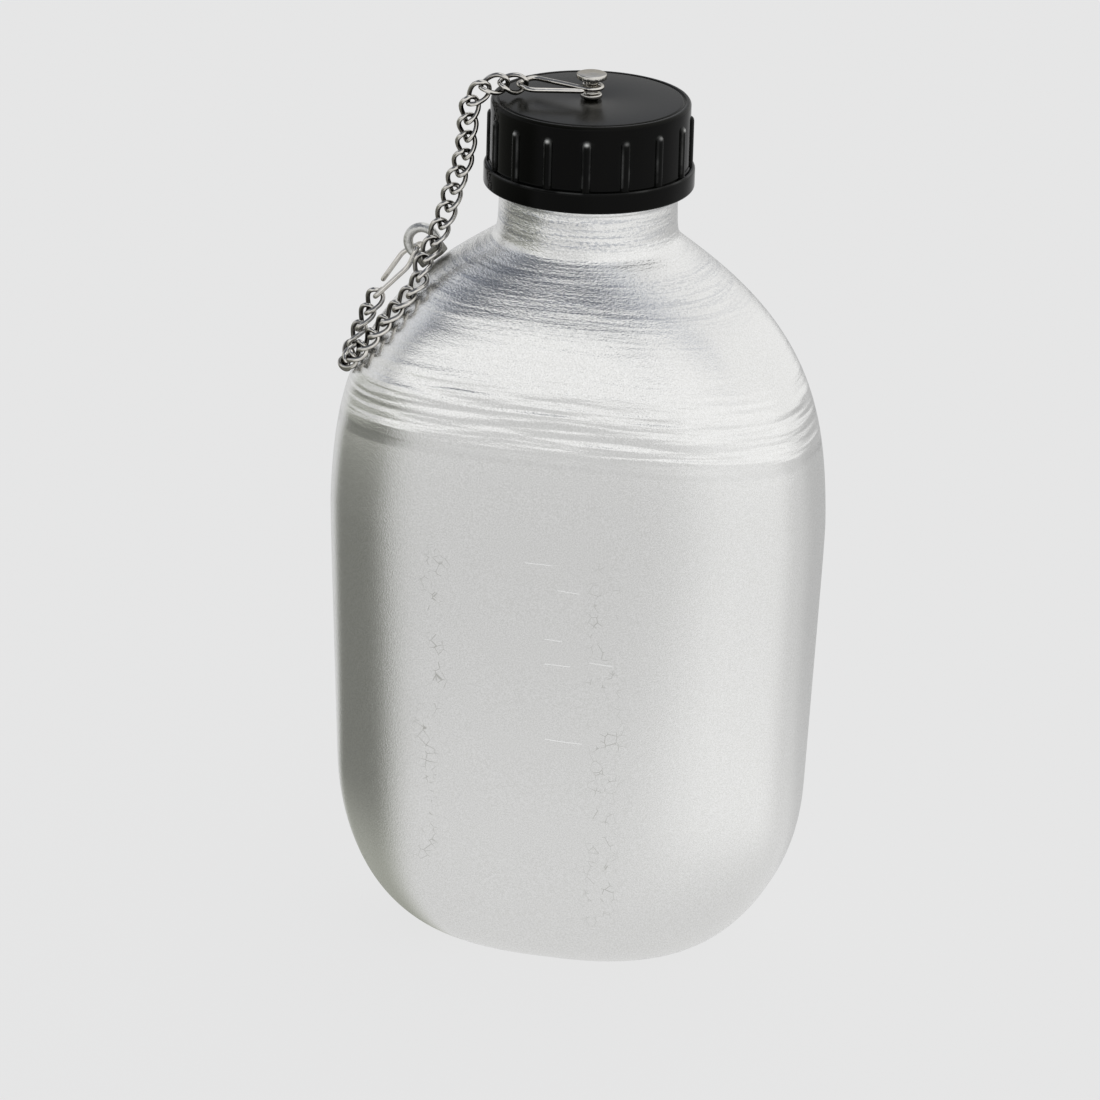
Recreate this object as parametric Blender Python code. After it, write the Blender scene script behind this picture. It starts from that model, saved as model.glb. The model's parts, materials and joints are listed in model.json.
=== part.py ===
# Military canteen: a spun aluminium bottle of kidney plan with a black moulded screw cap.
# A curb chain runs from a wire clip on the cap's rivet to a wire clip in the eye on the shoulder.
# Metres, +Z up. The origin is on the neck's axis, in the plane of the flat base.
# X is the wide way, the flatter side of the body faces -Y and the eye stands on the -X shoulder.

import bpy
import bmesh
import numpy as np
from math import atan2, ceil, cos, pi, radians, sin
from mathutils import Matrix, Vector

MM = 0.001

# Bottle
BODY_HALF_WIDTH = 59.0 * MM
FRONT_DEPTH = 37.0 * MM         # from the neck's axis to the front, before the front is drawn in
FRONT_DRAW_IN = 5.0 * MM
BACK_DEPTH = 33.0 * MM          # from the neck's axis to the back, before the back is bowed out
BACK_BOW = 7.0 * MM
FRONT_SQUARENESS = 2.7          # exponent of the superellipse, 2 is a plain ellipse
BACK_SQUARENESS = 2.1
WALL = 1.0 * MM
BASE_HALF_WIDTH = 18.0 * MM     # the flat that the bottle stands on
BASE_HALF_DEPTH = 15.0 * MM
BASE_ROUND_HEIGHT_ENDS = 43.0 * MM
BASE_ROUND_HEIGHT_SIDES = 21.5 * MM
BASE_ROUND_POWER_ENDS = 2.2
BASE_ROUND_POWER_SIDES = 2.8
TAPER_START = 108.0 * MM        # below this height the body narrows towards the base
TAPER_WIDTH = 0.080             # share of the width lost at the base
TAPER_DEPTH = 0.048
NECK_FOOT = 175.0 * MM          # height where the shoulder meets the neck
SHOULDER_HEIGHT = 94.0 * MM
SHOULDER_POWER = 4.45
NECK_BLEND = 0.07               # softness of the hollow between neck and shoulder
NECK_RADIUS = 20.75 * MM
NECK_BEAD_BELOW_CAP = 1.0 * MM
NECK_BEAD_HEIGHT = 0.45 * MM
NECK_BEAD_WIDTH = 0.95 * MM
NECK_HEIGHT = 28.6 * MM         # from the neck's foot to the mouth
MOUTH_HEIGHT = NECK_FOOT + NECK_HEIGHT
MOUTH_LIP = 0.5 * MM

# Sealing disc, between the mouth and the cap's ceiling
SEAT_GAP = 0.3 * MM             # between two pieces that rest on each other
DISC_THICKNESS = 1.6 * MM
DISC_CLEARANCE = 0.3 * MM

# Cap. It stands on the disc, and its wall goes down outside the neck
CAP_TOP_THICKNESS = 2.2 * MM
CAP_TOP = MOUTH_HEIGHT + DISC_THICKNESS + 2.0 * SEAT_GAP + CAP_TOP_THICKNESS
CAP_HEIGHT = 20.5 * MM
CAP_FOOT = CAP_TOP - CAP_HEIGHT
SKIRT_CLEARANCE = 0.5 * MM
CAP_WALL = 2.05 * MM
CAP_WALL_RADIUS = NECK_RADIUS + SKIRT_CLEARANCE + CAP_WALL
CAP_EDGE = 0.5 * MM
FLANGE_STEP = 1.3 * MM
FLANGE_RADIUS = CAP_WALL_RADIUS + FLANGE_STEP
FLANGE_HEIGHT = 5.2 * MM
FLANGE_CHAMFER = 0.7 * MM
RIB_COUNT = 16
RIB_START = radians(12.3)       # turn about Z from +X to the middle of the first rib
RIB_HEIGHT = 0.75 * MM
RIB_WIDTH = 2.2 * MM
RIB_BELOW_TOP = 3.4 * MM
RIM_GROOVE_INSET = 0.9 * MM
RIM_GROOVE_WIDTH = 0.6 * MM
RIM_GROOVE_DEPTH = 0.35 * MM

# Screw thread, the same round wave on neck and cap
THREAD_PITCH = 3.2 * MM
THREAD_DEPTH = 0.55 * MM        # half of the wave's height
THREAD_STEP_IN = 0.6 * MM       # from the plain neck in to the thread's crest
THREAD_MID_RADIUS = NECK_RADIUS - THREAD_STEP_IN - THREAD_DEPTH
THREAD_CLEARANCE = 0.4 * MM
THREAD_RUN_OUT = 1.2 * MM
THREAD_ABOVE_CAP_FOOT = 3.5 * MM
THREAD_BELOW_MOUTH = 2.4 * MM
NECK_THREAD_FOOT = CAP_FOOT + THREAD_ABOVE_CAP_FOOT
NECK_THREAD_TOP = MOUTH_HEIGHT - THREAD_BELOW_MOUTH
CAP_THREAD_RECESS = 4.0 * MM    # the cap's thread starts this far above the neck's
CAP_THREAD_FOOT = NECK_THREAD_FOOT + CAP_THREAD_RECESS

# Rivet
RIVET_SHANK_RADIUS = 1.5 * MM
RIVET_HOLE_CLEARANCE = 0.3 * MM
RIVET_COLLAR_RADIUS = 2.5 * MM
RIVET_COLLAR_HEIGHT = 1.0 * MM
RIVET_NECK_HEIGHT = 3.5 * MM
RIVET_HEAD_RADIUS = 3.5 * MM
RIVET_HEAD_HEIGHT = 1.3 * MM
RIVET_FOOT_RADIUS = 3.0 * MM
RIVET_FOOT_HEIGHT = 0.8 * MM

# Wire clips
CLIP_WIRE = 1.2 * MM
WIRE_CLEARANCE = 0.3 * MM
CAP_CLIP_REACH = 16.9 * MM      # from the rivet's axis to the short side that holds the chain
CAP_CLIP_TAPER = 4.0 * MM       # the front bar ends this much nearer than the short side
CAP_CLIP_FRONT = 7.6 * MM
CAP_CLIP_BACK = 2.6 * MM
CAP_CLIP_CUT_END = 4.3 * MM
SHOULDER_CLIP_REACH = 17.5 * MM     # from the eye's middle to the short side that holds the chain
SHOULDER_CLIP_FREE_LEG = 14.8 * MM
SHOULDER_CLIP_HALF_WIDTH = 3.3 * MM
SHOULDER_CLIP_LEAN = radians(13.1)  # steeper than the shoulder's slope

# Chain. Each link's opening takes two wires and some room
CHAIN_WIRE = 1.1 * MM
LINK_COUNT = 25
LINK_ROOM_LONG = 3.1 * MM
LINK_ROOM_WIDE = 0.9 * MM
LINK_LENGTH = 4.0 * CHAIN_WIRE + LINK_ROOM_LONG     # outer sizes of one link
LINK_WIDTH = 4.0 * CHAIN_WIRE + LINK_ROOM_WIDE
LINK_PLAY = 0.8 * MM
LINK_PITCH = LINK_LENGTH - 2.0 * CHAIN_WIRE - LINK_PLAY
LINK_TWIST = radians(54.0)      # each end of a link is turned this far about its length
CHAIN_BESIDE_CAP = 4.0 * MM     # from the cap's band to the middle of the hanging chain
CHAIN_ABOVE_BAND = 6.0 * MM     # where it first hangs clear of the cap, above the band
CHAIN_SIDE_TURN = radians(195.2)
SLACK_LEAST = -12.0 * MM        # how far the loop on the shoulder may rise or drop to use up the chain
SLACK_MOST = 16.0 * MM

# Shoulder eye
EYE_RADIUS = 3.5 * MM           # to the middle of the ring's wire
EYE_WIRE_RADIUS = 1.15 * MM
EYE_STAND_OFF = 5.45 * MM       # from the shoulder to the ring's middle
EYE_FROM_SIDE = 22.7 * MM       # from the body's side at -X in to the eye's foot
LUG_LENGTH = 6.8 * MM
LUG_HEIGHT = 2.9 * MM
LUG_DEPTH = 4.6 * MM
LUG_LIFT = 0.15 * MM            # over the seat gap, for the shoulder's curve under the flat foot

# Smoothness of the solids
BODY_SEGMENTS = 48
BODY_RING_STEP = 20.0 * MM
THREAD_STEPS = 5                # rings for each turn of thread
LINK_SEGMENTS = 16
WIRE_SIDES = 5


def clear_scene():
    for item in list(bpy.data.objects):
        bpy.data.objects.remove(item, do_unlink=True)


def make_material(name, colour, roughness, metallic):
    material = bpy.data.materials.new(name)
    material.use_nodes = True
    shader = material.node_tree.nodes["Principled BSDF"]
    shader.inputs["Base Color"].default_value = (*colour, 1.0)
    shader.inputs["Roughness"].default_value = roughness
    shader.inputs["Metallic"].default_value = metallic
    return material


# Turn a list of rings, each with the same number of points, into one closed mesh.
# An open run of rings is closed at both ends, a looped run joins its last ring to its first.
def mesh_from_rings(name, rings, material, looped=False, sharp_angle=35.0):
    mesh = bpy.data.meshes.new(name)
    shape = bmesh.new()
    rows = [[shape.verts.new(tuple(point)) for point in ring] for ring in rings]
    count = len(rows[0])
    pairs = list(zip(rows, rows[1:]))
    if looped:
        pairs.append((rows[-1], rows[0]))
    for lower, upper in pairs:
        for i in range(count):
            j = (i + 1) % count
            shape.faces.new((lower[i], lower[j], upper[j], upper[i]))
    if not looped:
        shape.faces.new(rows[0])
        shape.faces.new(rows[-1])
    bmesh.ops.recalc_face_normals(shape, faces=shape.faces)
    if shape.calc_volume(signed=True) < 0:
        bmesh.ops.reverse_faces(shape, faces=shape.faces)
    bmesh.ops.triangulate(shape, faces=shape.faces)
    shape.to_mesh(mesh)
    shape.free()
    mesh.materials.append(material)
    mesh.shade_smooth()
    mesh.set_sharp_from_angle(angle=radians(sharp_angle))
    item = bpy.data.objects.new(name, mesh)
    bpy.context.collection.objects.link(item)
    return item


def place_on_axis(item, point):
    item.data.transform(Matrix.Translation(-Vector(point)))
    item.location = point


def smooth_step(value, low, high):
    t = np.clip((value - low) / (high - low), 0.0, 1.0)
    return t * t * (3.0 - 2.0 * t)


# Plan of the body: a superellipse whose front is drawn in and whose back is bowed out,
# less a margin that gives the inside of the wall.
def body_plan(turn, margin=0.0):
    c = np.cos(turn)
    s = np.sin(turn)
    front = s < 0
    power = np.where(front, 2.0 / FRONT_SQUARENESS, 2.0 / BACK_SQUARENESS)
    half_width = BODY_HALF_WIDTH - margin
    x = half_width * np.sign(c) * np.abs(c) ** power
    depth = np.where(front, -(FRONT_DEPTH - margin), BACK_DEPTH - margin)
    bow = np.where(front, FRONT_DRAW_IN, BACK_BOW)
    y = depth * np.abs(s) ** power + bow * (1.0 - (x / half_width) ** 2)
    return x, y


def rounded_rise(height, full_height, power):
    t = np.clip(height / full_height, 0.0, 1.0)
    return (1.0 - (1.0 - t) ** power) ** (1.0 / power)


# Share of the way from the neck's circle, 0, to the body's plan, 1.
def shoulder_share(height):
    t = np.minimum((NECK_FOOT - height) / SHOULDER_HEIGHT, 1.0)
    share = 1.0 - (1.0 - t) ** SHOULDER_POWER
    return 0.5 * (share + np.sqrt(share ** 2 + NECK_BLEND ** 2))


# One point of the bottle's skin below the thread, at a turn about Z and a height.
def skin_point(turn, height, margin=0.0):
    x, y = body_plan(turn, margin)
    fall = np.clip((TAPER_START - height) / TAPER_START, 0.0, 1.0)
    x = x * (1.0 - TAPER_WIDTH * fall)
    y = y * (1.0 - TAPER_DEPTH * fall)
    base_x = (BASE_HALF_WIDTH - margin) * np.cos(turn)
    base_y = (BASE_HALF_DEPTH - margin) * np.sin(turn)
    x = base_x + (x - base_x) * rounded_rise(height - margin, BASE_ROUND_HEIGHT_ENDS, BASE_ROUND_POWER_ENDS)
    y = base_y + (y - base_y) * rounded_rise(height - margin, BASE_ROUND_HEIGHT_SIDES, BASE_ROUND_POWER_SIDES)
    share = shoulder_share(height)
    neck_x = (NECK_RADIUS - margin) * np.cos(turn)
    neck_y = (NECK_RADIUS - margin) * np.sin(turn)
    return np.stack([neck_x + (x - neck_x) * share, neck_y + (y - neck_y) * share,
                     np.full_like(x, height)], axis=-1)


def skin_normal(turn, height):
    step = 1e-4
    across = skin_point(turn + step, height) - skin_point(turn - step, height)
    along = skin_point(turn, height + step * 0.1) - skin_point(turn, height - step * 0.1)
    normal = np.cross(across, along)
    return normal / np.linalg.norm(normal, axis=-1, keepdims=True)


# Radius of the screw thread: a wave that climbs one pitch in each turn.
def thread_wave(turn, height):
    return np.cos(2.0 * pi * height / THREAD_PITCH - turn)


def thread_fade(height, low, high):
    return smooth_step(height, low, low + THREAD_RUN_OUT) * (1.0 - smooth_step(height, high - THREAD_RUN_OUT, high))


def neck_radius(turn, height):
    root = THREAD_MID_RADIUS - THREAD_DEPTH
    share = thread_fade(height, NECK_THREAD_FOOT, NECK_THREAD_TOP)
    threaded = root + THREAD_DEPTH * share * (1.0 + thread_wave(turn, height))
    shoulder_low = NECK_THREAD_FOOT - 1.8 * THREAD_RUN_OUT
    plain_share = 1.0 - smooth_step(height, shoulder_low, NECK_THREAD_FOOT)
    return threaded + (NECK_RADIUS - threaded) * plain_share


def cap_bore_radius(turn, height):
    root = THREAD_MID_RADIUS + THREAD_DEPTH + THREAD_CLEARANCE
    share = thread_fade(height, CAP_THREAD_FOOT, NECK_THREAD_TOP)
    threaded = root - THREAD_DEPTH * share * (1.0 - thread_wave(turn, height))
    skirt = NECK_RADIUS + SKIRT_CLEARANCE
    skirt_top = NECK_THREAD_FOOT
    skirt_share = 1.0 - smooth_step(height, skirt_top, skirt_top + 1.5 * THREAD_RUN_OUT)
    return threaded + (skirt - threaded) * skirt_share


def circle_ring(turn, radius, height):
    return np.stack([radius * np.cos(turn), radius * np.sin(turn), np.full_like(turn, height)], axis=-1)


def levels(low, high, step):
    count = max(1, ceil((high - low) / step - 1e-6))
    return [low + (high - low) * i / count for i in range(count + 1)]


def build_bottle(material):
    turn = np.arange(BODY_SEGMENTS) * 2.0 * pi / BODY_SEGMENTS
    bead = CAP_FOOT - NECK_BEAD_BELOW_CAP
    rounding = [BASE_ROUND_HEIGHT_ENDS * (i / 8.0) ** 2.2 for i in range(9)]
    side = levels(BASE_ROUND_HEIGHT_ENDS, NECK_FOOT - SHOULDER_HEIGHT, BODY_RING_STEP)[1:]
    shoulder = [NECK_FOOT - SHOULDER_HEIGHT * (1.0 - i / 11.0) ** 1.6 for i in range(1, 11)]
    neck = [NECK_FOOT + (bead - NECK_FOOT) * share for share in (-0.05, 0.1, 0.35)]
    outer = [skin_point(turn, z) for z in rounding + side + shoulder + neck]
    for z in (bead - NECK_BEAD_WIDTH, bead, bead + NECK_BEAD_WIDTH):
        height_share = NECK_BEAD_HEIGHT if z == bead else 0.0
        outer.append(circle_ring(turn, NECK_RADIUS + height_share, z))
    thread_low = NECK_THREAD_FOOT - 1.8 * THREAD_RUN_OUT
    lip_low = MOUTH_HEIGHT - MOUTH_LIP
    for z in levels(thread_low, NECK_THREAD_TOP, THREAD_PITCH / THREAD_STEPS) + [lip_low]:
        outer.append(circle_ring(turn, neck_radius(turn, z), z))
    root = THREAD_MID_RADIUS - THREAD_DEPTH
    bore = root - WALL
    outer.append(circle_ring(turn, root - 0.3 * WALL, MOUTH_HEIGHT))
    outer.append(circle_ring(turn, bore + 0.3 * WALL, MOUTH_HEIGHT))
    outer.append(circle_ring(turn, bore, lip_low))
    outer.append(circle_ring(turn, bore, thread_low))
    outer.append(circle_ring(turn, NECK_RADIUS - WALL, thread_low - 1.5 * WALL))
    inner_levels = rounding[3:] + side + shoulder + neck
    for z in reversed(inner_levels):
        outer.append(skin_point(turn, z) - WALL * skin_normal(turn, z))
    outer.append(skin_point(turn, WALL * 1.001, WALL))
    return mesh_from_rings("bottle", outer, material, sharp_angle=50.0)


# Turns of the cap's outline: four across each rib and one between ribs.
def cap_turns():
    rib_half = 0.5 * RIB_WIDTH / CAP_WALL_RADIUS
    gap = 2.0 * pi / RIB_COUNT
    offsets = [-rib_half, -0.45 * rib_half, 0.45 * rib_half, rib_half, 0.5 * gap]
    heights = [0.0, 0.95, 0.95, 0.0, 0.0]
    turn = [RIB_START + gap * i + offset for i in range(RIB_COUNT) for offset in offsets]
    return np.array(turn), np.array(heights * RIB_COUNT)


def build_cap(material):
    turn, rib = cap_turns()
    hole = RIVET_SHANK_RADIUS + RIVET_HOLE_CLEARANCE
    ceiling = CAP_TOP - CAP_TOP_THICKNESS
    groove_out = CAP_WALL_RADIUS - CAP_EDGE - RIM_GROOVE_INSET * 0.5
    groove_in = groove_out - RIM_GROOVE_WIDTH
    groove_low = CAP_TOP - RIM_GROOVE_DEPTH
    rib_top = CAP_TOP - RIB_BELOW_TOP
    flange_top = CAP_FOOT + FLANGE_HEIGHT
    rings = [circle_ring(turn, hole, ceiling), circle_ring(turn, hole, CAP_TOP),
             circle_ring(turn, groove_in, CAP_TOP),
             circle_ring(turn, 0.5 * (groove_in + groove_out), groove_low), circle_ring(turn, groove_out, CAP_TOP),
             circle_ring(turn, CAP_WALL_RADIUS - CAP_EDGE, CAP_TOP),
             circle_ring(turn, CAP_WALL_RADIUS - 0.3 * CAP_EDGE, CAP_TOP - 0.3 * CAP_EDGE),
             circle_ring(turn, CAP_WALL_RADIUS, CAP_TOP - CAP_EDGE)]
    for below, share in ((0.0, 0.0), (0.32, 0.7), (1.0, 1.0)):
        rings.append(circle_ring(turn, CAP_WALL_RADIUS + RIB_HEIGHT * share * rib, rib_top - below * 0.5 * RIB_WIDTH))
    rings.append(circle_ring(turn, CAP_WALL_RADIUS + RIB_HEIGHT * rib, flange_top))
    rings.append(circle_ring(turn, FLANGE_RADIUS, flange_top - FLANGE_CHAMFER))
    rings.append(circle_ring(turn, FLANGE_RADIUS, CAP_FOOT + 0.4 * MM))
    rings.append(circle_ring(turn, FLANGE_RADIUS - 0.4 * MM, CAP_FOOT))
    heights = [CAP_FOOT, NECK_THREAD_FOOT, NECK_THREAD_FOOT + 1.5 * THREAD_RUN_OUT]
    heights += levels(CAP_THREAD_FOOT, NECK_THREAD_TOP, THREAD_PITCH / THREAD_STEPS)
    heights += [ceiling]
    for z in heights:
        rings.append(circle_ring(turn, cap_bore_radius(turn, z), z))
    item = mesh_from_rings("cap", rings, material, looped=True, sharp_angle=40.0)
    place_on_axis(item, (0.0, 0.0, CAP_FOOT))
    return item


def build_disc(material):
    turn = np.arange(36) * 2.0 * pi / 36
    radius = THREAD_MID_RADIUS + THREAD_DEPTH + THREAD_CLEARANCE - DISC_CLEARANCE
    low = MOUTH_HEIGHT + SEAT_GAP
    high = low + DISC_THICKNESS
    recess = RIVET_FOOT_RADIUS + SEAT_GAP
    recess_floor = CAP_TOP - CAP_TOP_THICKNESS - SEAT_GAP - RIVET_FOOT_HEIGHT - SEAT_GAP
    rings = [circle_ring(turn, radius - 0.3 * MM, low), circle_ring(turn, radius, low + 0.3 * MM),
             circle_ring(turn, radius, high - 0.3 * MM), circle_ring(turn, radius - 0.3 * MM, high),
             circle_ring(turn, recess, high), circle_ring(turn, recess, recess_floor)]
    item = mesh_from_rings("cap_gasket", rings, material)
    place_on_axis(item, (0.0, 0.0, low))
    return item


def rivet_neck_low():
    return CAP_TOP + SEAT_GAP + RIVET_COLLAR_HEIGHT


def rivet_head_low():
    return rivet_neck_low() + RIVET_NECK_HEIGHT


def build_rivet(material):
    turn = np.arange(20) * 2.0 * pi / 20
    ceiling = CAP_TOP - CAP_TOP_THICKNESS - SEAT_GAP
    collar_low = CAP_TOP + SEAT_GAP
    head_low = rivet_head_low()
    head_top = head_low + RIVET_HEAD_HEIGHT
    profile = [(RIVET_FOOT_RADIUS - 0.3 * MM, ceiling - RIVET_FOOT_HEIGHT),
               (RIVET_FOOT_RADIUS, ceiling - 0.5 * RIVET_FOOT_HEIGHT), (RIVET_FOOT_RADIUS - 0.2 * MM, ceiling),
               (RIVET_SHANK_RADIUS, ceiling), (RIVET_SHANK_RADIUS, collar_low),
               (RIVET_COLLAR_RADIUS, collar_low), (RIVET_COLLAR_RADIUS, collar_low + 0.7 * RIVET_COLLAR_HEIGHT),
               (RIVET_COLLAR_RADIUS - 0.3 * MM, collar_low + RIVET_COLLAR_HEIGHT),
               (RIVET_SHANK_RADIUS, collar_low + RIVET_COLLAR_HEIGHT), (RIVET_SHANK_RADIUS, head_low),
               (RIVET_HEAD_RADIUS - 0.3 * MM, head_low), (RIVET_HEAD_RADIUS, head_low + 0.3 * MM),
               (RIVET_HEAD_RADIUS, head_top - 0.4 * MM), (RIVET_HEAD_RADIUS - 0.4 * MM, head_top)]
    item = mesh_from_rings("cap_rivet", [circle_ring(turn, r, z) for r, z in profile], material)
    place_on_axis(item, (0.0, 0.0, CAP_TOP))
    return item


# A line of points through corners, each rounded to a radius by an arc.
def rounded_corners(corners, radius, arc_points=4):
    points = [Vector(corners[0])]
    for before, corner, after in zip(corners, corners[1:], corners[2:]):
        corner = Vector(corner)
        to_before = (Vector(before) - corner).normalized()
        to_after = (Vector(after) - corner).normalized()
        half = 0.5 * to_before.angle(to_after)
        reach = min(radius / np.tan(half), 0.45 * (Vector(before) - corner).length,
                    0.45 * (Vector(after) - corner).length)
        start = corner + to_before * reach
        end = corner + to_after * reach
        for i in range(arc_points + 1):
            t = i / arc_points
            points.append((1 - t) ** 2 * start + 2 * t * (1 - t) * corner + t ** 2 * end)
    points.append(Vector(corners[-1]))
    return points


# A round wire along points. Frames are carried from point to point without twist.
def build_wire(name, points, diameter, material, closed=False, sides=WIRE_SIDES):
    count = len(points)
    tangents = []
    for i in range(count):
        if closed:
            step = points[(i + 1) % count] - points[i - 1]
        else:
            step = points[min(i + 1, count - 1)] - points[max(i - 1, 0)]
        tangents.append(step.normalized())
    seed = Vector((0.0, 0.0, 1.0)) if abs(tangents[0].z) < 0.9 else Vector((1.0, 0.0, 0.0))
    side = (seed - tangents[0] * seed.dot(tangents[0])).normalized()
    sides_at = []
    for tangent in tangents:
        side = (side - tangent * side.dot(tangent)).normalized()
        sides_at.append(side)
    slip = 0.0
    if closed:
        carried = (sides_at[-1] - tangents[0] * sides_at[-1].dot(tangents[0])).normalized()
        other = tangents[0].cross(carried)
        slip = atan2(sides_at[0].dot(other), sides_at[0].dot(carried))
    rings = []
    for i, point in enumerate(points):
        tangent = tangents[i]
        a = sides_at[i]
        b = tangent.cross(a)
        start = slip * i / count
        rings.append([point + 0.5 * diameter * (a * cos(start + k * 2.0 * pi / sides)
                                                + b * sin(start + k * 2.0 * pi / sides)) for k in range(sides)])
    return mesh_from_rings(name, rings, material, looped=closed, sharp_angle=75.0)


# Height of the cap clip's wire where it goes round the rivet's neck.
def clip_level():
    return rivet_neck_low() + 0.45 * RIVET_NECK_HEIGHT


def cap_clip_corner():
    return -CAP_CLIP_REACH, -0.475 * CAP_CLIP_FRONT


# The cap's clip: a triangle of wire round the rivet's neck, with a cut end at the rivet's front
# and a short side on the left, which holds the chain.
def build_cap_clip(material):
    level = clip_level()
    turn_radius = RIVET_SHANK_RADIUS + 0.5 * CLIP_WIRE + WIRE_CLEARANCE
    corners = [(-CLIP_WIRE, -CAP_CLIP_CUT_END, level), (CAP_CLIP_TAPER - CAP_CLIP_REACH, -CAP_CLIP_FRONT, level),
               (*cap_clip_corner(), level), (0.55 * CAP_CLIP_TAPER - CAP_CLIP_REACH, CAP_CLIP_BACK, level)]
    bars = rounded_corners(corners + [(-0.41 * CAP_CLIP_REACH, 0.0, level)], 1.5 * CLIP_WIRE)
    wrap = []
    for i in range(11):
        angle = radians(-118.0 + 26.0 * i)
        wrap.append(Vector((turn_radius * cos(angle), turn_radius * sin(angle), level)))
    item = build_wire("cap_clip", bars + wrap, CLIP_WIRE, material, sides=8)
    place_on_axis(item, (0.0, 0.0, level))
    return item


# Foot of the shoulder eye: the skin's point, its outward normal and the direction down the slope.
def eye_foot():
    turn = np.array([pi])
    low, high = NECK_FOOT - SHOULDER_HEIGHT, NECK_FOOT
    for _ in range(40):
        middle = 0.5 * (low + high)
        if BODY_HALF_WIDTH + skin_point(turn, middle)[0][0] < EYE_FROM_SIDE:
            low = middle
        else:
            high = middle
    point = Vector(skin_point(turn, middle)[0])
    normal = Vector(skin_normal(turn, middle)[0])
    normal.y = 0.0
    normal.normalize()
    down = Vector((normal.z, 0.0, -normal.x))
    if down.z > 0:
        down = -down
    return point, normal, down


def eye_centre():
    point, normal, _ = eye_foot()
    return point + normal * EYE_STAND_OFF


def build_eye(material):
    point, normal, down = eye_foot()
    side = Vector((0.0, 1.0, 0.0))
    rings = []
    middle = eye_centre()
    for i in range(22):
        angle = i * 2.0 * pi / 22
        out = down * cos(angle) + normal * sin(angle)
        rings.append([middle + out * (EYE_RADIUS + EYE_WIRE_RADIUS * cos(k * 2.0 * pi / 8))
                      + side * (EYE_WIRE_RADIUS * sin(k * 2.0 * pi / 8)) for k in range(8)])
    ring = mesh_from_rings("shoulder_eye", rings, material, looped=True)

    foot_gap = SEAT_GAP + LUG_LIFT
    block = bmesh.new()
    bmesh.ops.create_cube(block, size=1.0)
    height = LUG_HEIGHT - foot_gap
    frame = Matrix((down, side, normal)).transposed().to_4x4()
    frame.translation = point + normal * (foot_gap + 0.5 * height)
    scale = Matrix.Diagonal((LUG_LENGTH, LUG_DEPTH, height, 1.0))
    bmesh.ops.transform(block, matrix=frame @ scale, verts=block.verts)
    bmesh.ops.bevel(block, geom=block.edges[:], offset=0.3 * MM, segments=1, affect="EDGES")
    bmesh.ops.recalc_face_normals(block, faces=block.faces)
    mesh = bpy.data.meshes.new("lug_guide")
    block.to_mesh(mesh)
    block.free()
    guide = bpy.data.objects.new("lug_guide", mesh)
    bpy.context.collection.objects.link(guide)
    guide.hide_render = True
    guide.display_type = "WIRE"
    join = ring.modifiers.new("join", "BOOLEAN")
    join.operation = "UNION"
    join.object = guide
    return ring


# Directions of the shoulder clip: down from the eye's middle, across the shoulder's slope, and Y.
def clip_axes():
    _, normal, down = eye_foot()
    hang = down * cos(SHOULDER_CLIP_LEAN) - normal * sin(SHOULDER_CLIP_LEAN)
    across = Vector((hang.z, 0.0, -hang.x))
    return hang, across, Vector((0.0, 1.0, 0.0))


# The shoulder's clip: one bent wire through the eye, with one leg behind the ring, which ends free,
# and one in front of it, which turns along a short side that holds the chain.
def shoulder_clip_corners():
    hang, across, side = clip_axes()
    middle = eye_centre()
    leg = EYE_WIRE_RADIUS + 0.5 * CLIP_WIRE + 1.5 * WIRE_CLEARANCE
    bow = 1.1 * CLIP_WIRE
    offsets = [(SHOULDER_CLIP_FREE_LEG, bow, leg), (EYE_RADIUS + 2.0 * bow, 1.5 * bow, leg),
               (EYE_RADIUS - leg, 0.0, leg), (EYE_RADIUS - leg, 0.0, -leg),
               (EYE_RADIUS + 2.0 * bow, -bow, -leg), (SHOULDER_CLIP_REACH, 0.0, -SHOULDER_CLIP_HALF_WIDTH),
               (SHOULDER_CLIP_REACH, 0.0, SHOULDER_CLIP_HALF_WIDTH)]
    return [middle + hang * h + across * a + side * y for h, a, y in offsets]


def build_shoulder_clip(material):
    points = rounded_corners(shoulder_clip_corners(), 1.1 * CLIP_WIRE)
    return build_wire("shoulder_clip", points, CLIP_WIRE, material, sides=8)


# Where the chain hangs on each clip: a point on the middle line of its short side.
def cap_clip_hook():
    x, y = cap_clip_corner()
    return Vector((x + 0.6 * CLIP_WIRE, y, clip_level()))


def shoulder_clip_hook():
    near, far = shoulder_clip_corners()[-2:]
    return near + (far - near) * 0.2


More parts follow.
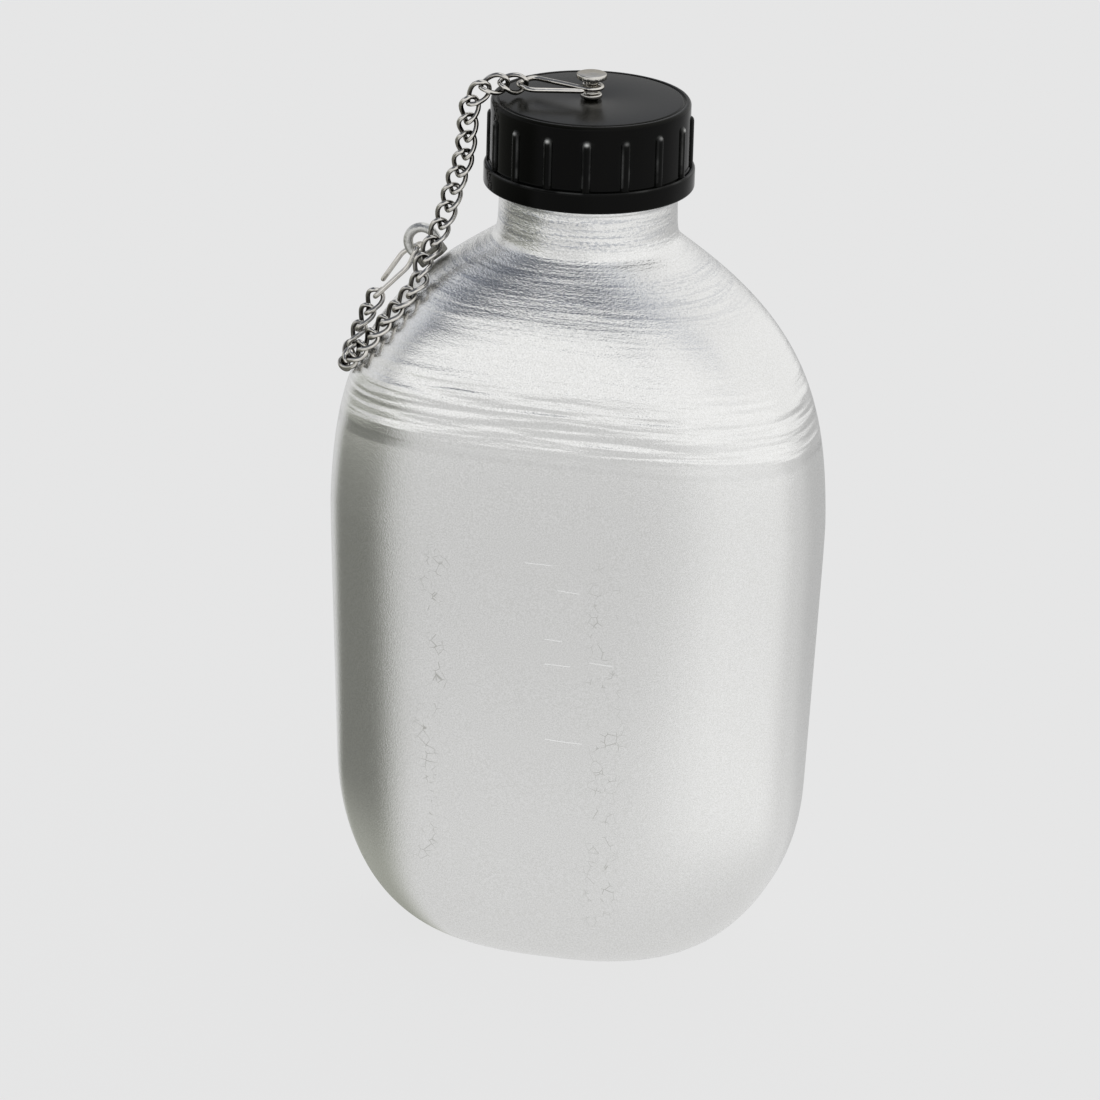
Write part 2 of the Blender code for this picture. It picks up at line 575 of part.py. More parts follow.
# Route of the chain, in millimetres for the real canteen. It falls from the cap clip's hook to a
# place beside the cap, then to the shoulder. Both parts are given from their own start, and the
# last row is their end: a part is stretched to where its ends really are. On the shoulder it lies
# in a loop that climbs back to the shoulder clip: turn about Z in degrees, height below the eye's
# foot, and lift. Each point has the way that the flat of the chain faces.
OVER_CAP_EDGE = [
    ((-2.1, -1.3, 0.2), (0.2, -0.85, 0.5)),
    ((-4.6, -2.6, 0.3), (0.05, -0.85, 0.5)),
    ((-7.3, -3.7, -0.5), (-0.05, -0.9, 0.4)),
    ((-9.5, -4.3, -2.7), (-0.1, -1.0, 0.3)),
    ((-10.8, -4.4, -5.8), (-0.1, -1.0, 0.2)),
    ((-11.4, -3.8, -12.2), (-0.1, -1.0, 0.15)),
]
DOWN_TO_SHOULDER = [
    ((-0.6, 0.4, -5.3), (-0.05, -1.0, 0.1)),
    ((-2.0, 0.4, -9.7), (-0.05, -1.0, 0.1)),
    ((-3.2, 0.3, -14.2), (-0.1, -1.0, 0.1)),
    ((-4.3, -0.1, -18.7), (-0.15, -1.0, 0.15)),
    ((-5.7, -1.1, -23.2), (-0.25, -0.95, 0.25)),
    ((-7.2, -3.1, -27.5), (-0.35, -0.9, 0.4)),
    ((-8.6, -5.3, -31.3), (-0.45, -0.8, 0.5)),
    ((-8.9, -7.3, -34.6), (-0.52, -0.65, 0.6)),
]
LOOP_ON_SHOULDER = [
    ((206.5, 2.0, 0.2), (-0.52, -0.65, 0.6)),
    ((208.7, 4.8, 0.0), (-0.57, -0.58, 0.62)),
    ((209.7, 7.6, 0.0), (-0.6, -0.52, 0.6)),
    ((209.5, 10.6, 0.0), (-0.63, -0.5, 0.57)),
    ((208.3, 13.6, 0.0), (-0.68, -0.5, 0.5)),
    ((206.2, 16.8, 0.0), (-0.72, -0.5, 0.46)),
    ((202.8, 19.8, 0.0), (-0.78, -0.45, 0.42)),
    ((198.2, 22.2, 0.0), (-0.82, -0.4, 0.42)),
    ((192.5, 23.6, 0.0), (-0.85, -0.35, 0.42)),
    ((187.0, 23.2, 0.2), (-0.85, -0.35, 0.4)),
    ((183.2, 20.6, 0.6), (-0.82, -0.4, 0.4)),
    ((181.8, 16.4, 1.0), (-0.7, -0.6, 0.35)),
]


def stretched(route, start, end):
    last = route[-1][0]
    scale = [(end[k] - start[k]) / last[k] for k in range(3)]
    return [[start[k] + offset[k] * scale[k] for k in range(3)] + list(facing) for offset, facing in route]


# Points of the chain's loop, at the height over the shoulder where its twisted links clear it. Slack
# moves the loop down, most in its middle.
def loop_rows(slack):
    eye_height = eye_foot()[0].z
    lie = 0.5 * CHAIN_WIRE + 0.5 * (LINK_WIDTH - CHAIN_WIRE) * sin(0.5 * LINK_TWIST) + WIRE_CLEARANCE
    rows = []
    for i, ((turn, below, lift), facing) in enumerate(LOOP_ON_SHOULDER):
        turn = np.array([radians(turn)])
        height = eye_height - below * MM - slack * sin(pi * i / (len(LOOP_ON_SHOULDER) - 1))
        point = skin_point(turn, height)[0] + (lie + lift * MM) * skin_normal(turn, height)[0]
        rows.append([*point, *facing])
    return rows


# A smooth curve through the route, sampled closely: each row is a point and the way the flat faces.
def chain_curve(slack):
    top = cap_clip_hook()
    end = shoulder_clip_hook()
    reach = FLANGE_RADIUS + CHAIN_BESIDE_CAP
    beside = Vector((reach * cos(CHAIN_SIDE_TURN), reach * sin(CHAIN_SIDE_TURN),
                     CAP_FOOT + FLANGE_HEIGHT + CHAIN_ABOVE_BAND))
    loop = loop_rows(slack)
    rows = [[*top, 0.3, -0.82, 0.48]] + stretched(OVER_CAP_EDGE, top, beside)
    rows += stretched(DOWN_TO_SHOULDER, beside, loop[0])[:-1] + loop
    rows.append([*end, -0.45, -0.87, 0.2])
    knots = np.array(rows)
    padded = np.vstack([2 * knots[0] - knots[1], knots, 2 * knots[-1] - knots[-2]])
    samples = []
    for i in range(1, len(padded) - 2):
        p0, p1, p2, p3 = padded[i - 1:i + 3]
        for t in np.linspace(0.0, 1.0, 24, endpoint=False):
            samples.append(0.5 * ((2 * p1) + (p2 - p0) * t + (2 * p0 - 5 * p1 + 4 * p2 - p3) * t ** 2
                                  + (3 * p1 - p0 - 3 * p2 + p3) * t ** 3))
    samples.append(padded[-2])
    return np.array(samples)


def curve_length(curve):
    steps = np.linalg.norm(np.diff(curve[:, :3], axis=0), axis=1)
    return np.concatenate([[0.0], np.cumsum(steps)])


# The loop on the shoulder takes up the slack, so that all the links lie at their own pitch.
def fitted_curve(wanted):
    low, high = SLACK_LEAST, SLACK_MOST
    for _ in range(24):
        slack = 0.5 * (low + high)
        if curve_length(chain_curve(slack))[-1] < wanted:
            low = slack
        else:
            high = slack
    return chain_curve(slack)


# Frames of the links: middle, direction of the chain, width and flat's normal.
def chain_frames():
    hook_reach = 0.5 * LINK_LENGTH - CHAIN_WIRE - 0.5 * CLIP_WIRE - 1.3 * WIRE_CLEARANCE
    steps = LINK_COUNT - 1
    curve = fitted_curve(steps * LINK_PITCH + 2.0 * hook_reach)
    length = curve_length(curve)
    pitch = (length[-1] - 2.0 * hook_reach) / steps
    frames = []
    for i in range(steps + 1):
        at = hook_reach + i * pitch
        values = [np.interp(at, length, curve[:, k]) for k in range(6)]
        ahead = [np.interp(at + 0.5 * pitch, length, curve[:, k]) for k in range(3)]
        behind = [np.interp(at - 0.5 * pitch, length, curve[:, k]) for k in range(3)]
        along = (Vector(ahead) - Vector(behind)).normalized()
        normal = Vector(values[3:])
        normal = (normal - along * normal.dot(along)).normalized()
        frames.append((Vector(values[:3]), along, normal.cross(along), normal))
    return frames


# Middle line of one curb link's wire: an oval, turned about its length by an angle
# that goes from minus the twist at one end to plus the twist at the other.
def link_points(frame):
    middle, along, width, normal = frame
    half_length = 0.5 * (LINK_LENGTH - CHAIN_WIRE)
    half_width = 0.5 * (LINK_WIDTH - CHAIN_WIRE)
    points = []
    for i in range(LINK_SEGMENTS):
        angle = i * 2.0 * pi / LINK_SEGMENTS
        c = cos(angle)
        s = sin(angle)
        u = half_length * (abs(c) ** 0.85) * (1 if c >= 0 else -1)
        v = half_width * (abs(s) ** 0.85) * (1 if s >= 0 else -1)
        twist = LINK_TWIST * u / half_length
        points.append(middle + along * u + (width * cos(twist) + normal * sin(twist)) * v)
    return points


def build_chain(material):
    links = []
    for i, frame in enumerate(chain_frames()):
        name = f"chain_link_{i + 1:02d}"
        link = build_wire(name, link_points(frame), CHAIN_WIRE, material, closed=True)
        place_on_axis(link, frame[0])
        links.append(link)
    return links


def main():
    clear_scene()
    aluminium = make_material("satin aluminium", (0.80, 0.80, 0.79), 0.38, 1.0)
    plastic = make_material("black moulded plastic", (0.02, 0.02, 0.018), 0.4, 0.0)
    rubber = make_material("grey sealing rubber", (0.20, 0.20, 0.19), 0.8, 0.0)
    nickel = make_material("nickel plated steel", (0.75, 0.74, 0.72), 0.2, 1.0)
    pale = make_material("pale aluminium", (0.86, 0.86, 0.85), 0.45, 1.0)
    build_bottle(aluminium)
    build_cap(plastic)
    build_disc(rubber)
    build_rivet(nickel)
    build_cap_clip(nickel)
    build_chain(nickel)
    build_shoulder_clip(nickel)
    build_eye(pale)


main()
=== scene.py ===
import json
from math import pi, radians

import bpy
import numpy as np
from mathutils import Matrix, Vector


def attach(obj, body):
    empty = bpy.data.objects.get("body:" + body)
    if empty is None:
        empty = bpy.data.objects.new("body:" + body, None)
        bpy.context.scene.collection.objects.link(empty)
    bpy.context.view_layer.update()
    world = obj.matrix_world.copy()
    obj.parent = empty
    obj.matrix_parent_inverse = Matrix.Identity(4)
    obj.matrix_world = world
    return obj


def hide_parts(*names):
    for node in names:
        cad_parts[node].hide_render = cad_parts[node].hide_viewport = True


# Aluminium field canteen with a black screw cap, held by a curb chain. Metres, +Z up, and every
# shape follows the frame: the neck's axis is X = Y = 0 and the flat base lies at Z = 0.

mm = 0.001
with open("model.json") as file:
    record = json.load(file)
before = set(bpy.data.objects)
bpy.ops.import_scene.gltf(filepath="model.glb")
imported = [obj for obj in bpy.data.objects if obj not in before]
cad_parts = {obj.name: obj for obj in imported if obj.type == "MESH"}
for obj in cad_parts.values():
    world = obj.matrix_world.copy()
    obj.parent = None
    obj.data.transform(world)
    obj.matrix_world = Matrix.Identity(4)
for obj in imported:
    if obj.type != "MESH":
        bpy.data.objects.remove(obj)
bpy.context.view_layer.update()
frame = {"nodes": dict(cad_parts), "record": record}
print("frame loaded:", len(frame["nodes"]), "nodes")


# A grid of points, rows by columns, becomes quads. Columns always close on themselves. Rows close
# when wrapRows is on, and otherwise each end gets one middle point and a fan of triangles.
def gridMesh(name, grid, wrapRows=False, pointValues=None, sharpAngle=None):
    rows, columns = grid.shape[:2]
    index = np.arange(rows * columns).reshape(rows, columns)
    lower = index if wrapRows else index[:-1]
    upper = np.roll(index, -1, axis=0) if wrapRows else index[1:]
    quads = np.stack([lower, np.roll(lower, -1, axis=1), np.roll(upper, -1, axis=1), upper], axis=-1).reshape(-1, 4)
    points = grid.reshape(-1, 3)
    fans = np.zeros((0, 3), dtype=int)
    if not wrapRows:
        first, last = index[0], index[-1]
        start = np.full(columns, len(points))
        points = np.vstack([points, grid[0].mean(axis=0), grid[-1].mean(axis=0)])
        fans = np.vstack([np.stack([start, np.roll(first, -1), first], axis=1),
                          np.stack([start + 1, last, np.roll(last, -1)], axis=1)])
    triangles = np.vstack([quads[:, [0, 1, 2]], quads[:, [0, 2, 3]], fans])
    a, b, c = (points[triangles[:, k]] for k in range(3))
    if np.einsum("ij,ij->i", a, np.cross(b, c)).sum() < 0:      # inside out, so each face is turned over
        quads, fans = quads[:, ::-1], fans[:, ::-1]
    mesh = bpy.data.meshes.new(name)
    mesh.vertices.add(len(points))
    mesh.vertices.foreach_set("co", points.astype(np.float32).ravel())
    corners = np.concatenate([quads.ravel(), fans.ravel()]).astype(np.int32)
    sizes = np.concatenate([np.full(len(quads), 4), np.full(len(fans), 3)])
    starts = np.concatenate([[0], np.cumsum(sizes)[:-1]]).astype(np.int32)
    mesh.loops.add(len(corners))
    mesh.loops.foreach_set("vertex_index", corners)
    mesh.polygons.add(len(sizes))
    mesh.polygons.foreach_set("loop_start", starts)
    mesh.update(calc_edges=True)
    mesh.validate()
    mesh.shade_smooth()
    if sharpAngle:
        mesh.set_sharp_from_angle(angle=radians(sharpAngle))
    for key, values in (pointValues or {}).items():
        padded = np.zeros(len(points), dtype=np.float32)
        padded[:values.size] = values.ravel()
        padded[values.size:] = values.ravel()[-1]
        mesh.attributes.new(key, "FLOAT", "POINT").data.foreach_set("value", padded)
    thing = bpy.data.objects.new(name, mesh)
    bpy.context.collection.objects.link(thing)
    return thing


# Vectors divided by their lengths.
def unit(vectors):
    return vectors / np.linalg.norm(vectors, axis=-1, keepdims=True)


# A round bar along a path: each row is a circle square to the path, whose first spoke is turned
# away from a reference direction. Open bars end in half balls. With the inside shaded, the value
# "inside" is 1 where a closed bar's skin faces the middle of its loop, for painted shade there.
def barAlong(name, path, radius, reference, spokes=16, closed=False, shadeInside=False):
    if closed:
        tangent = unit(np.roll(path, -1, axis=0) - np.roll(path, 1, axis=0))
    else:
        tangent = unit(np.gradient(path, axis=0))
    side = unit(np.cross(tangent, np.broadcast_to(reference, path.shape)))
    up = np.cross(side, tangent)
    reach = np.full(len(path), radius)
    if not closed:                                              # half balls of a few rings
        ballRows = 5
        bend = np.linspace(0.12, 0.5 * pi, ballRows)
        head = path[0] - tangent[0] * radius * np.cos(bend)[:, None]
        tail = path[-1] + tangent[-1] * radius * np.cos(bend[::-1])[:, None]
        path = np.vstack([head[:-1], path, tail[1:]])
        side, up = (np.concatenate([np.repeat(rows[:1], ballRows - 1, axis=0), rows,
                                    np.repeat(rows[-1:], ballRows - 1, axis=0)]) for rows in (side, up))
        reach = np.concatenate([radius * np.sin(bend[:-1]), reach, radius * np.sin(bend[::-1][1:])])
    spoke = np.arange(spokes) * 2 * pi / spokes
    ring = np.cos(spoke)[None, :, None] * side[:, None] + np.sin(spoke)[None, :, None] * up[:, None]
    grid = path[:, None] + reach[:, None, None] * ring
    values = {"inside": smoothStep(-np.cos(spoke), -0.3, 0.7) * np.ones(grid.shape[:2])} if shadeInside else None
    return gridMesh(name, grid, wrapRows=closed, pointValues=values)


# A turned piece: each row is a circle about Z, with its radius and height from the profile.
def turnedPiece(name, profile, spokes=48):
    profile = np.array(profile) * mm
    turn = np.arange(spokes) * 2 * pi / spokes
    radius, height = profile[:, 0:1], profile[:, 1:2]
    grid = np.stack([radius * np.cos(turn), radius * np.sin(turn), height + 0 * turn], axis=-1)
    return gridMesh(name, grid)


# Soft corners: each corner of a profile is replaced by points on a parabola that starts and ends
# at the given reach from it, or a little under half way to the next corner where that is less.
def softProfile(corners, reach, steps=5):
    corners = np.array(corners, dtype=float)
    before, at, after = corners[:-2], corners[1:-1], corners[2:]
    back = np.minimum(reach, 0.45 * np.linalg.norm(before - at, axis=1))[:, None]
    ahead = np.minimum(reach, 0.45 * np.linalg.norm(after - at, axis=1))[:, None]
    start = at + unit(before - at) * back
    end = at + unit(after - at) * ahead
    t = np.linspace(0, 1, steps)[None, :, None]
    bends = (1 - t) ** 2 * start[:, None] + 2 * t * (1 - t) * at[:, None] + t ** 2 * end[:, None]
    return np.vstack([corners[:1], bends.reshape(-1, corners.shape[1]), corners[-1:]])


# 0 below low and 1 above high. Between them it is 3 t squared less 2 t cubed, t the share covered.
def smoothStep(value, low, high):
    t = np.clip((value - low) / (high - low), 0, 1)
    return t * t * (3 - 2 * t)


# A hex colour as linear light. Each channel is a share of 255. A dark one is divided by 12.92. To
# any other 0.055 is added, and the sum is divided by 1.055 and raised to the power 2.4.
def hexColour(code):
    channels = np.array([int(code[i:i + 2], 16) for i in (1, 3, 5)]) / 255
    linear = np.where(channels <= 0.04045, channels / 12.92, ((channels + 0.055) / 1.055) ** 2.4)
    return (*linear.tolist(), 1.0)


smoothly = {"interpolation_type": "SMOOTHSTEP"}     # a Map Range that eases in and out
inColour = {"data_type": "RGBA"}                    # a Mix of colours, which are its inputs 6 and 7
mostNoise = (0.3, 0.7)                              # nearly all of a noise's values lie between these


# One node with its settings and links. Its inputs come in order, or by name or place. Each is a
# value, a socket, or another node, which then gives its first live output.
def addNode(tree, kind, inputs=(), **settings):
    node = tree.nodes.new("ShaderNode" + kind)
    for key, value in settings.items():
        setattr(node, key, value)
    for key, value in inputs.items() if isinstance(inputs, dict) else enumerate(inputs):
        if isinstance(value, bpy.types.Node):
            value = next(output for output in value.outputs if output.enabled)
        if isinstance(value, bpy.types.NodeSocket):
            tree.links.new(value, node.inputs[key])
        else:
            node.inputs[key].default_value = value
    return node


# Sum of values, each times its weight.
def weightedSum(tree, *terms):
    total = None
    for value, weight in terms:
        part = value if weight == 1 else addNode(tree, "Math", [value, weight], operation="MULTIPLY")
        total = part if total is None else addNode(tree, "Math", [total, part], operation="ADD")
    return total


# 1 between two limits and 0 beyond them: it rises from the first number to the second, and falls
# from the third to the fourth.
def between(tree, value, rise, risen, fall, fallen):
    up = addNode(tree, "MapRange", [value, rise, risen, 0.0, 1.0], **smoothly)
    down = addNode(tree, "MapRange", [value, fall, fallen, 1.0, 0.0], **smoothly)
    return addNode(tree, "Math", [up, down], operation="MULTIPLY")


def newMaterial(name):
    material = bpy.data.materials.new(name)
    material.use_nodes = True
    material.node_tree.nodes.clear()
    return material, material.node_tree


# The shader with its sockets set or linked, and the output.
def closeMaterial(tree, sockets):
    shader = addNode(tree, "BsdfPrincipled", sockets)
    addNode(tree, "OutputMaterial", {"Surface": shader})


# Spun aluminium, 1100 series: drawn, then turned on the shoulder and left bare. The eye sees a pale
# satin metal with rings left by the tool, a fine grain, and scuffs where it rubs in its cover. Bare
# aluminium has a base colour near E6E6E4. Grain is about 0.3 mm wide, rings lie 0.7 to 3 mm apart,
# and the cells of the crackle are about 2 mm wide.
spunFinish = {
    "metal": "#efefee", "worn": "#b9b9b4", "dirt": "#969ba5", "cutGlint": "#fdfdfc",
    "roughness": 0.20,
    "turnedRoughness": 0.15,            # on the shoulder, where the tool pressed it smooth
    "patchRoughness": 0.08, "grainRoughness": 0.12, "cutRoughness": -0.12,
    "grainPerMetre": 3000, "patchesPerMetre": 60, "cracksPerMetre": 430, "crackedPerMetre": 240,
    # noise cells a metre round the bottle and along its profile, and how fine their detail goes
    "speckle": (1300, 2300, 2.0), "fineRings": (70, 1500, 3.0),
    "wideRings": (26, 330, 2.0), "startRings": (25, 300, 1.5),
    # heights in metres over which something comes in, or goes out
    "turnedIn": (0.1275, 0.1310), "startRingsOut": (0.1410, 0.1520),
    "marksIn": (0.1290, 0.1400), "strongMarksIn": (0.1560, 0.1640), "dirtIn": (0.1570, 0.1650),
    "hollowIn": (0.1710, 0.1725), "hollowOut": (0.1765, 0.1785),
    "stepIn": (0.1288, 0.1298),         # the lowest ring, a shallow step
    # ranges of noise over which something comes in, and the most or least of it
    "crackedIn": (0.47, 0.56), "crackWidth": 0.06, "mostRub": 0.95,
    "tarnishOut": (0.28, 0.72), "mostTarnish": 0.34,
    "ringsInDirt": 0.55, "speckleInDirt": 0.45, "fineDirtIn": (0.48, 0.58), "mostDirt": 0.62,
    "ringDirtIn": (0.35, 0.60), "leastRingDirt": 0.45,
    # painted highlight: the dirt fades towards +X, where the light washes the metal out
    "litRightIn": (0.0, 0.045), "leastAtRight": 0.35,        # by X in metres
    "leastByNeck": 0.25, "startSpeckle": 0.25,
    # heights of the marks in the bump, as shares of its depth in metres
    "bumpDepth": 0.0005, "wideHeight": 0.85, "startHeight": 1.7, "fineHeight": 0.10,
    "speckleHeight": 0.25, "grainHeight": 0.10, "stepHeight": 0.05, "cutHeight": 0.08,
    "frontBefore": -0.015,              # wear is on what lies before this Y
}

# Short scratches on the front, bright as bare cut metal and as a painted glint: middle X, height and length in mm.
scratches = [(-1.6, 104.0, 6.5), (5.9, 97.8, 5.2), (2.4, 85.4, 4.2), (3.5, 79.2, 6.2), (14.0, 80.7, 5.6),
             (5.5, 60.1, 9.0)]
scratchShape = {"halfThickness": 0.00014, "tilt": 0.03, "wobble": 0.0012}

# Worn streaks down the front, where the skin has crackled: middle X, half width, and the heights
# where each begins, is full, starts to fade and ends, in metres.
wornStreaks = [(-0.026, 0.005, (0.012, 0.032, 0.095, 0.125)), (0.015, 0.008, (0.004, 0.024, 0.090, 0.120))]
streakWander = 0.012


def spunAluminium():
    finish = spunFinish
    material, tree = newMaterial("bare spun aluminium")
    place = addNode(tree, "TexCoord").outputs["Object"]
    x, y, z = addNode(tree, "SeparateXYZ", [place]).outputs
    ring = addNode(tree, "Attribute", attribute_name="ringLength").outputs["Fac"]

    # noise that is long round the bottle and short along its profile
    def rings(around, along, detail):
        stretched = addNode(tree, "CombineXYZ", [
            addNode(tree, "Math", [x, around], operation="MULTIPLY"),
            addNode(tree, "Math", [y, around], operation="MULTIPLY"),
            addNode(tree, "Math", [ring, along], operation="MULTIPLY")])
        return addNode(tree, "TexNoise", {"Vector": stretched, "Scale": 1.0, "Detail": detail, "Roughness": 0.6})

    speckle, fineRings = rings(*finish["speckle"]), rings(*finish["fineRings"])
    wideRings, startRings = rings(*finish["wideRings"]), rings(*finish["startRings"])
    grain = addNode(tree, "TexNoise", {"Vector": place, "Scale": finish["grainPerMetre"], "Detail": 2.0,
                                       "Roughness": 0.6})
    patches = addNode(tree, "TexNoise", {"Vector": place, "Scale": finish["patchesPerMetre"], "Detail": 3.0,
                                         "Roughness": 0.5})
    grainSwing = addNode(tree, "Math", [grain, 0.5], operation="SUBTRACT")
    patchSwing = addNode(tree, "Math", [patches, 0.5], operation="SUBTRACT")

    # the tool left long rings where it started, and fine marks with a speckle beside the neck
    started = between(tree, z, *finish["turnedIn"], *finish["startRingsOut"])
    strong = addNode(tree, "MapRange", [z, *finish["strongMarksIn"], finish["leastByNeck"], 1.0], **smoothly)
    marked = addNode(tree, "MapRange", [z, *finish["marksIn"], 0.0, 1.0], **smoothly)
    byNeck = addNode(tree, "Math", [strong, marked], operation="MULTIPLY")
    faint = addNode(tree, "Math", [started, finish["startSpeckle"]], operation="MULTIPLY")
    fineMarks = addNode(tree, "Math", [
        weightedSum(tree, (fineRings, finish["fineHeight"]), (speckle, finish["speckleHeight"])),
        addNode(tree, "Math", [byNeck, faint], operation="MAXIMUM")], operation="MULTIPLY")
    wideMarks = addNode(tree, "Math", [wideRings, byNeck], operation="MULTIPLY")
    startMarks = addNode(tree, "Math", [startRings, started], operation="MULTIPLY")
    step = addNode(tree, "MapRange", [z, *finish["stepIn"], 0.0, 1.0], **smoothly)

    # scratches: thin strokes that lie level, near white partly as bare cut metal and partly as a painted glint
    strokes = 0.0
    for middle, level, length in scratches:
        fromMiddle = addNode(tree, "Math", [x, middle * mm], operation="SUBTRACT")
        fromLevel = addNode(tree, "Math", [z, level * mm], operation="SUBTRACT")
        off = weightedSum(tree, (fromLevel, 1), (fromMiddle, scratchShape["tilt"]),
                          (patchSwing, scratchShape["wobble"]))
        across = addNode(tree, "Math", [off], operation="ABSOLUTE")
        along = addNode(tree, "Math", [fromMiddle], operation="ABSOLUTE")
        thin = addNode(tree, "Math", [across, scratchShape["halfThickness"]], operation="LESS_THAN")
        short = addNode(tree, "Math", [along, 0.5 * length * mm], operation="LESS_THAN")
        stroke = addNode(tree, "Math", [thin, short], operation="MULTIPLY")
        strokes = addNode(tree, "Math", [strokes, stroke], operation="MAXIMUM")
    front = addNode(tree, "Math", [y, finish["frontBefore"]], operation="LESS_THAN")
    strokes = addNode(tree, "Math", [strokes, front], operation="MULTIPLY")

    # crackle marks: the edges of cells, shown in patches and only in the streaks
    cracks = addNode(tree, "TexVoronoi", {"Vector": place, "Scale": finish["cracksPerMetre"], "Randomness": 1.0},
                     feature="DISTANCE_TO_EDGE")
    cracked = addNode(tree, "TexNoise", {"Vector": place, "Scale": finish["crackedPerMetre"], "Detail": 2.0,
                                         "Roughness": 0.6})
    specks = addNode(tree, "Math", [
        addNode(tree, "MapRange", [cracks, 0.0, finish["crackWidth"], 1.0, 0.0], **smoothly),
        addNode(tree, "MapRange", [cracked, *finish["crackedIn"], 0.0, 1.0], **smoothly)], operation="MULTIPLY")
    worn = 0.0
    for middle, width, reach in wornStreaks:
        fromMiddle = addNode(tree, "Math", [x, middle], operation="SUBTRACT")
        off = addNode(tree, "Math", [weightedSum(tree, (fromMiddle, 1), (patchSwing, streakWander))],
                      operation="ABSOLUTE")
        streak = addNode(tree, "Math", [
            addNode(tree, "MapRange", [off, 0.0, width, 1.0, 0.0], **smoothly),
            between(tree, z, *reach)], operation="MULTIPLY")
        streak = addNode(tree, "Math", [streak, front], operation="MULTIPLY")
        worn = addNode(tree, "Math", [worn, streak], operation="MAXIMUM")
    rub = addNode(tree, "Math", [worn, specks], operation="MULTIPLY", use_clamp=True)
    rub = addNode(tree, "Math", [rub, finish["mostRub"]], operation="MULTIPLY")
    tarnish = addNode(tree, "MapRange", [grain, *finish["tarnishOut"], finish["mostTarnish"], 0.0], **smoothly)
    dull = addNode(tree, "Math", [rub, tarnish], operation="MAXIMUM")

    # the tool's marks beside the neck and on it hold some blue-grey dirt, less of it in the hollow
    # between them; towards +X it fades as painted highlight, where the light washes the metal out
    fineDirt = weightedSum(tree, (fineRings, finish["ringsInDirt"]), (speckle, finish["speckleInDirt"]))
    fineDirt = addNode(tree, "MapRange", [fineDirt, *finish["fineDirtIn"], 0.0, finish["mostDirt"]], **smoothly)
    ringDirt = addNode(tree, "Math", [
        addNode(tree, "MapRange", [z, *finish["dirtIn"], 0.0, 1.0], **smoothly),
        addNode(tree, "MapRange", [wideRings, *finish["ringDirtIn"], finish["leastRingDirt"], 1.0], **smoothly)],
        operation="MULTIPLY")
    kept = addNode(tree, "Math", [
        addNode(tree, "MapRange", [z, *finish["hollowIn"], 1.0, 0.0], **smoothly),
        addNode(tree, "MapRange", [z, *finish["hollowOut"], 0.0, 1.0], **smoothly)], operation="MAXIMUM")
    # fading the dirt towards +X is painted highlight
    kept = addNode(tree, "Math", [
        kept, addNode(tree, "MapRange", [x, *finish["litRightIn"], 1.0, finish["leastAtRight"]], **smoothly)],
        operation="MULTIPLY")
    dirt = addNode(tree, "Math", [
        addNode(tree, "Math", [fineDirt, ringDirt], operation="MULTIPLY"), kept], operation="MULTIPLY")

    shade = hexColour(finish["metal"])
    # the scratches' near-white colour is bare cut metal with a painted glint
    for share, colour in ((dull, "worn"), (strokes, "cutGlint"), (dirt, "dirt")):
        shade = addNode(tree, "Mix", {0: share, 6: shade, 7: hexColour(finish[colour])}, **inColour)
    turned = addNode(tree, "MapRange", [z, *finish["turnedIn"], finish["roughness"], finish["turnedRoughness"]],
                     **smoothly)
    rough = weightedSum(tree, (turned, 1), (patchSwing, finish["patchRoughness"]),
                        (grainSwing, finish["grainRoughness"]), (strokes, finish["cutRoughness"]))
    height = weightedSum(tree, (wideMarks, finish["wideHeight"]), (startMarks, finish["startHeight"]), (fineMarks, 1),
                         (grain, finish["grainHeight"]), (step, finish["stepHeight"]), (strokes, finish["cutHeight"]))
    bump = addNode(tree, "Bump", {"Strength": 1.0, "Distance": finish["bumpDepth"], "Height": height})
    closeMaterial(tree, {"Base Color": shade, "Roughness": rough, "Normal": bump, "Metallic": 1.0})
    return material


# Moulded phenolic plastic, black. The sides keep the polish of the mould, and the top is duller,
# with a faint orange peel about 1 mm wide. The ribs and the band's edge carry painted highlights,
# pale in patches about 6 mm wide. IOR 1.5.
capFinish = {
    # the top's black is lighter than the sides' as painted light falling from above
    "black": "#060605", "litTopBlack": "#141410", "paintedHighlight": "#e2e2de",
    "peelPerMetre": 900, "finePerMetre": 3500, "highlightPatchesPerMetre": 160,
    "topFrom": (0.2072, 0.2079),            # heights in metres over which the sides become the top
    "roughness": 0.11, "topRoughness": 0.12, "peelRoughness": 0.08,
    "bumpDepth": 0.001, "bumpStrength": 0.4, "peelHeight": 0.014, "fineHeight": 0.009,
    "highlightPatchesIn": (0.40, 0.60), "leastHighlight": 0.2, "refraction": 1.5, "specularLevel": 0.07,
}


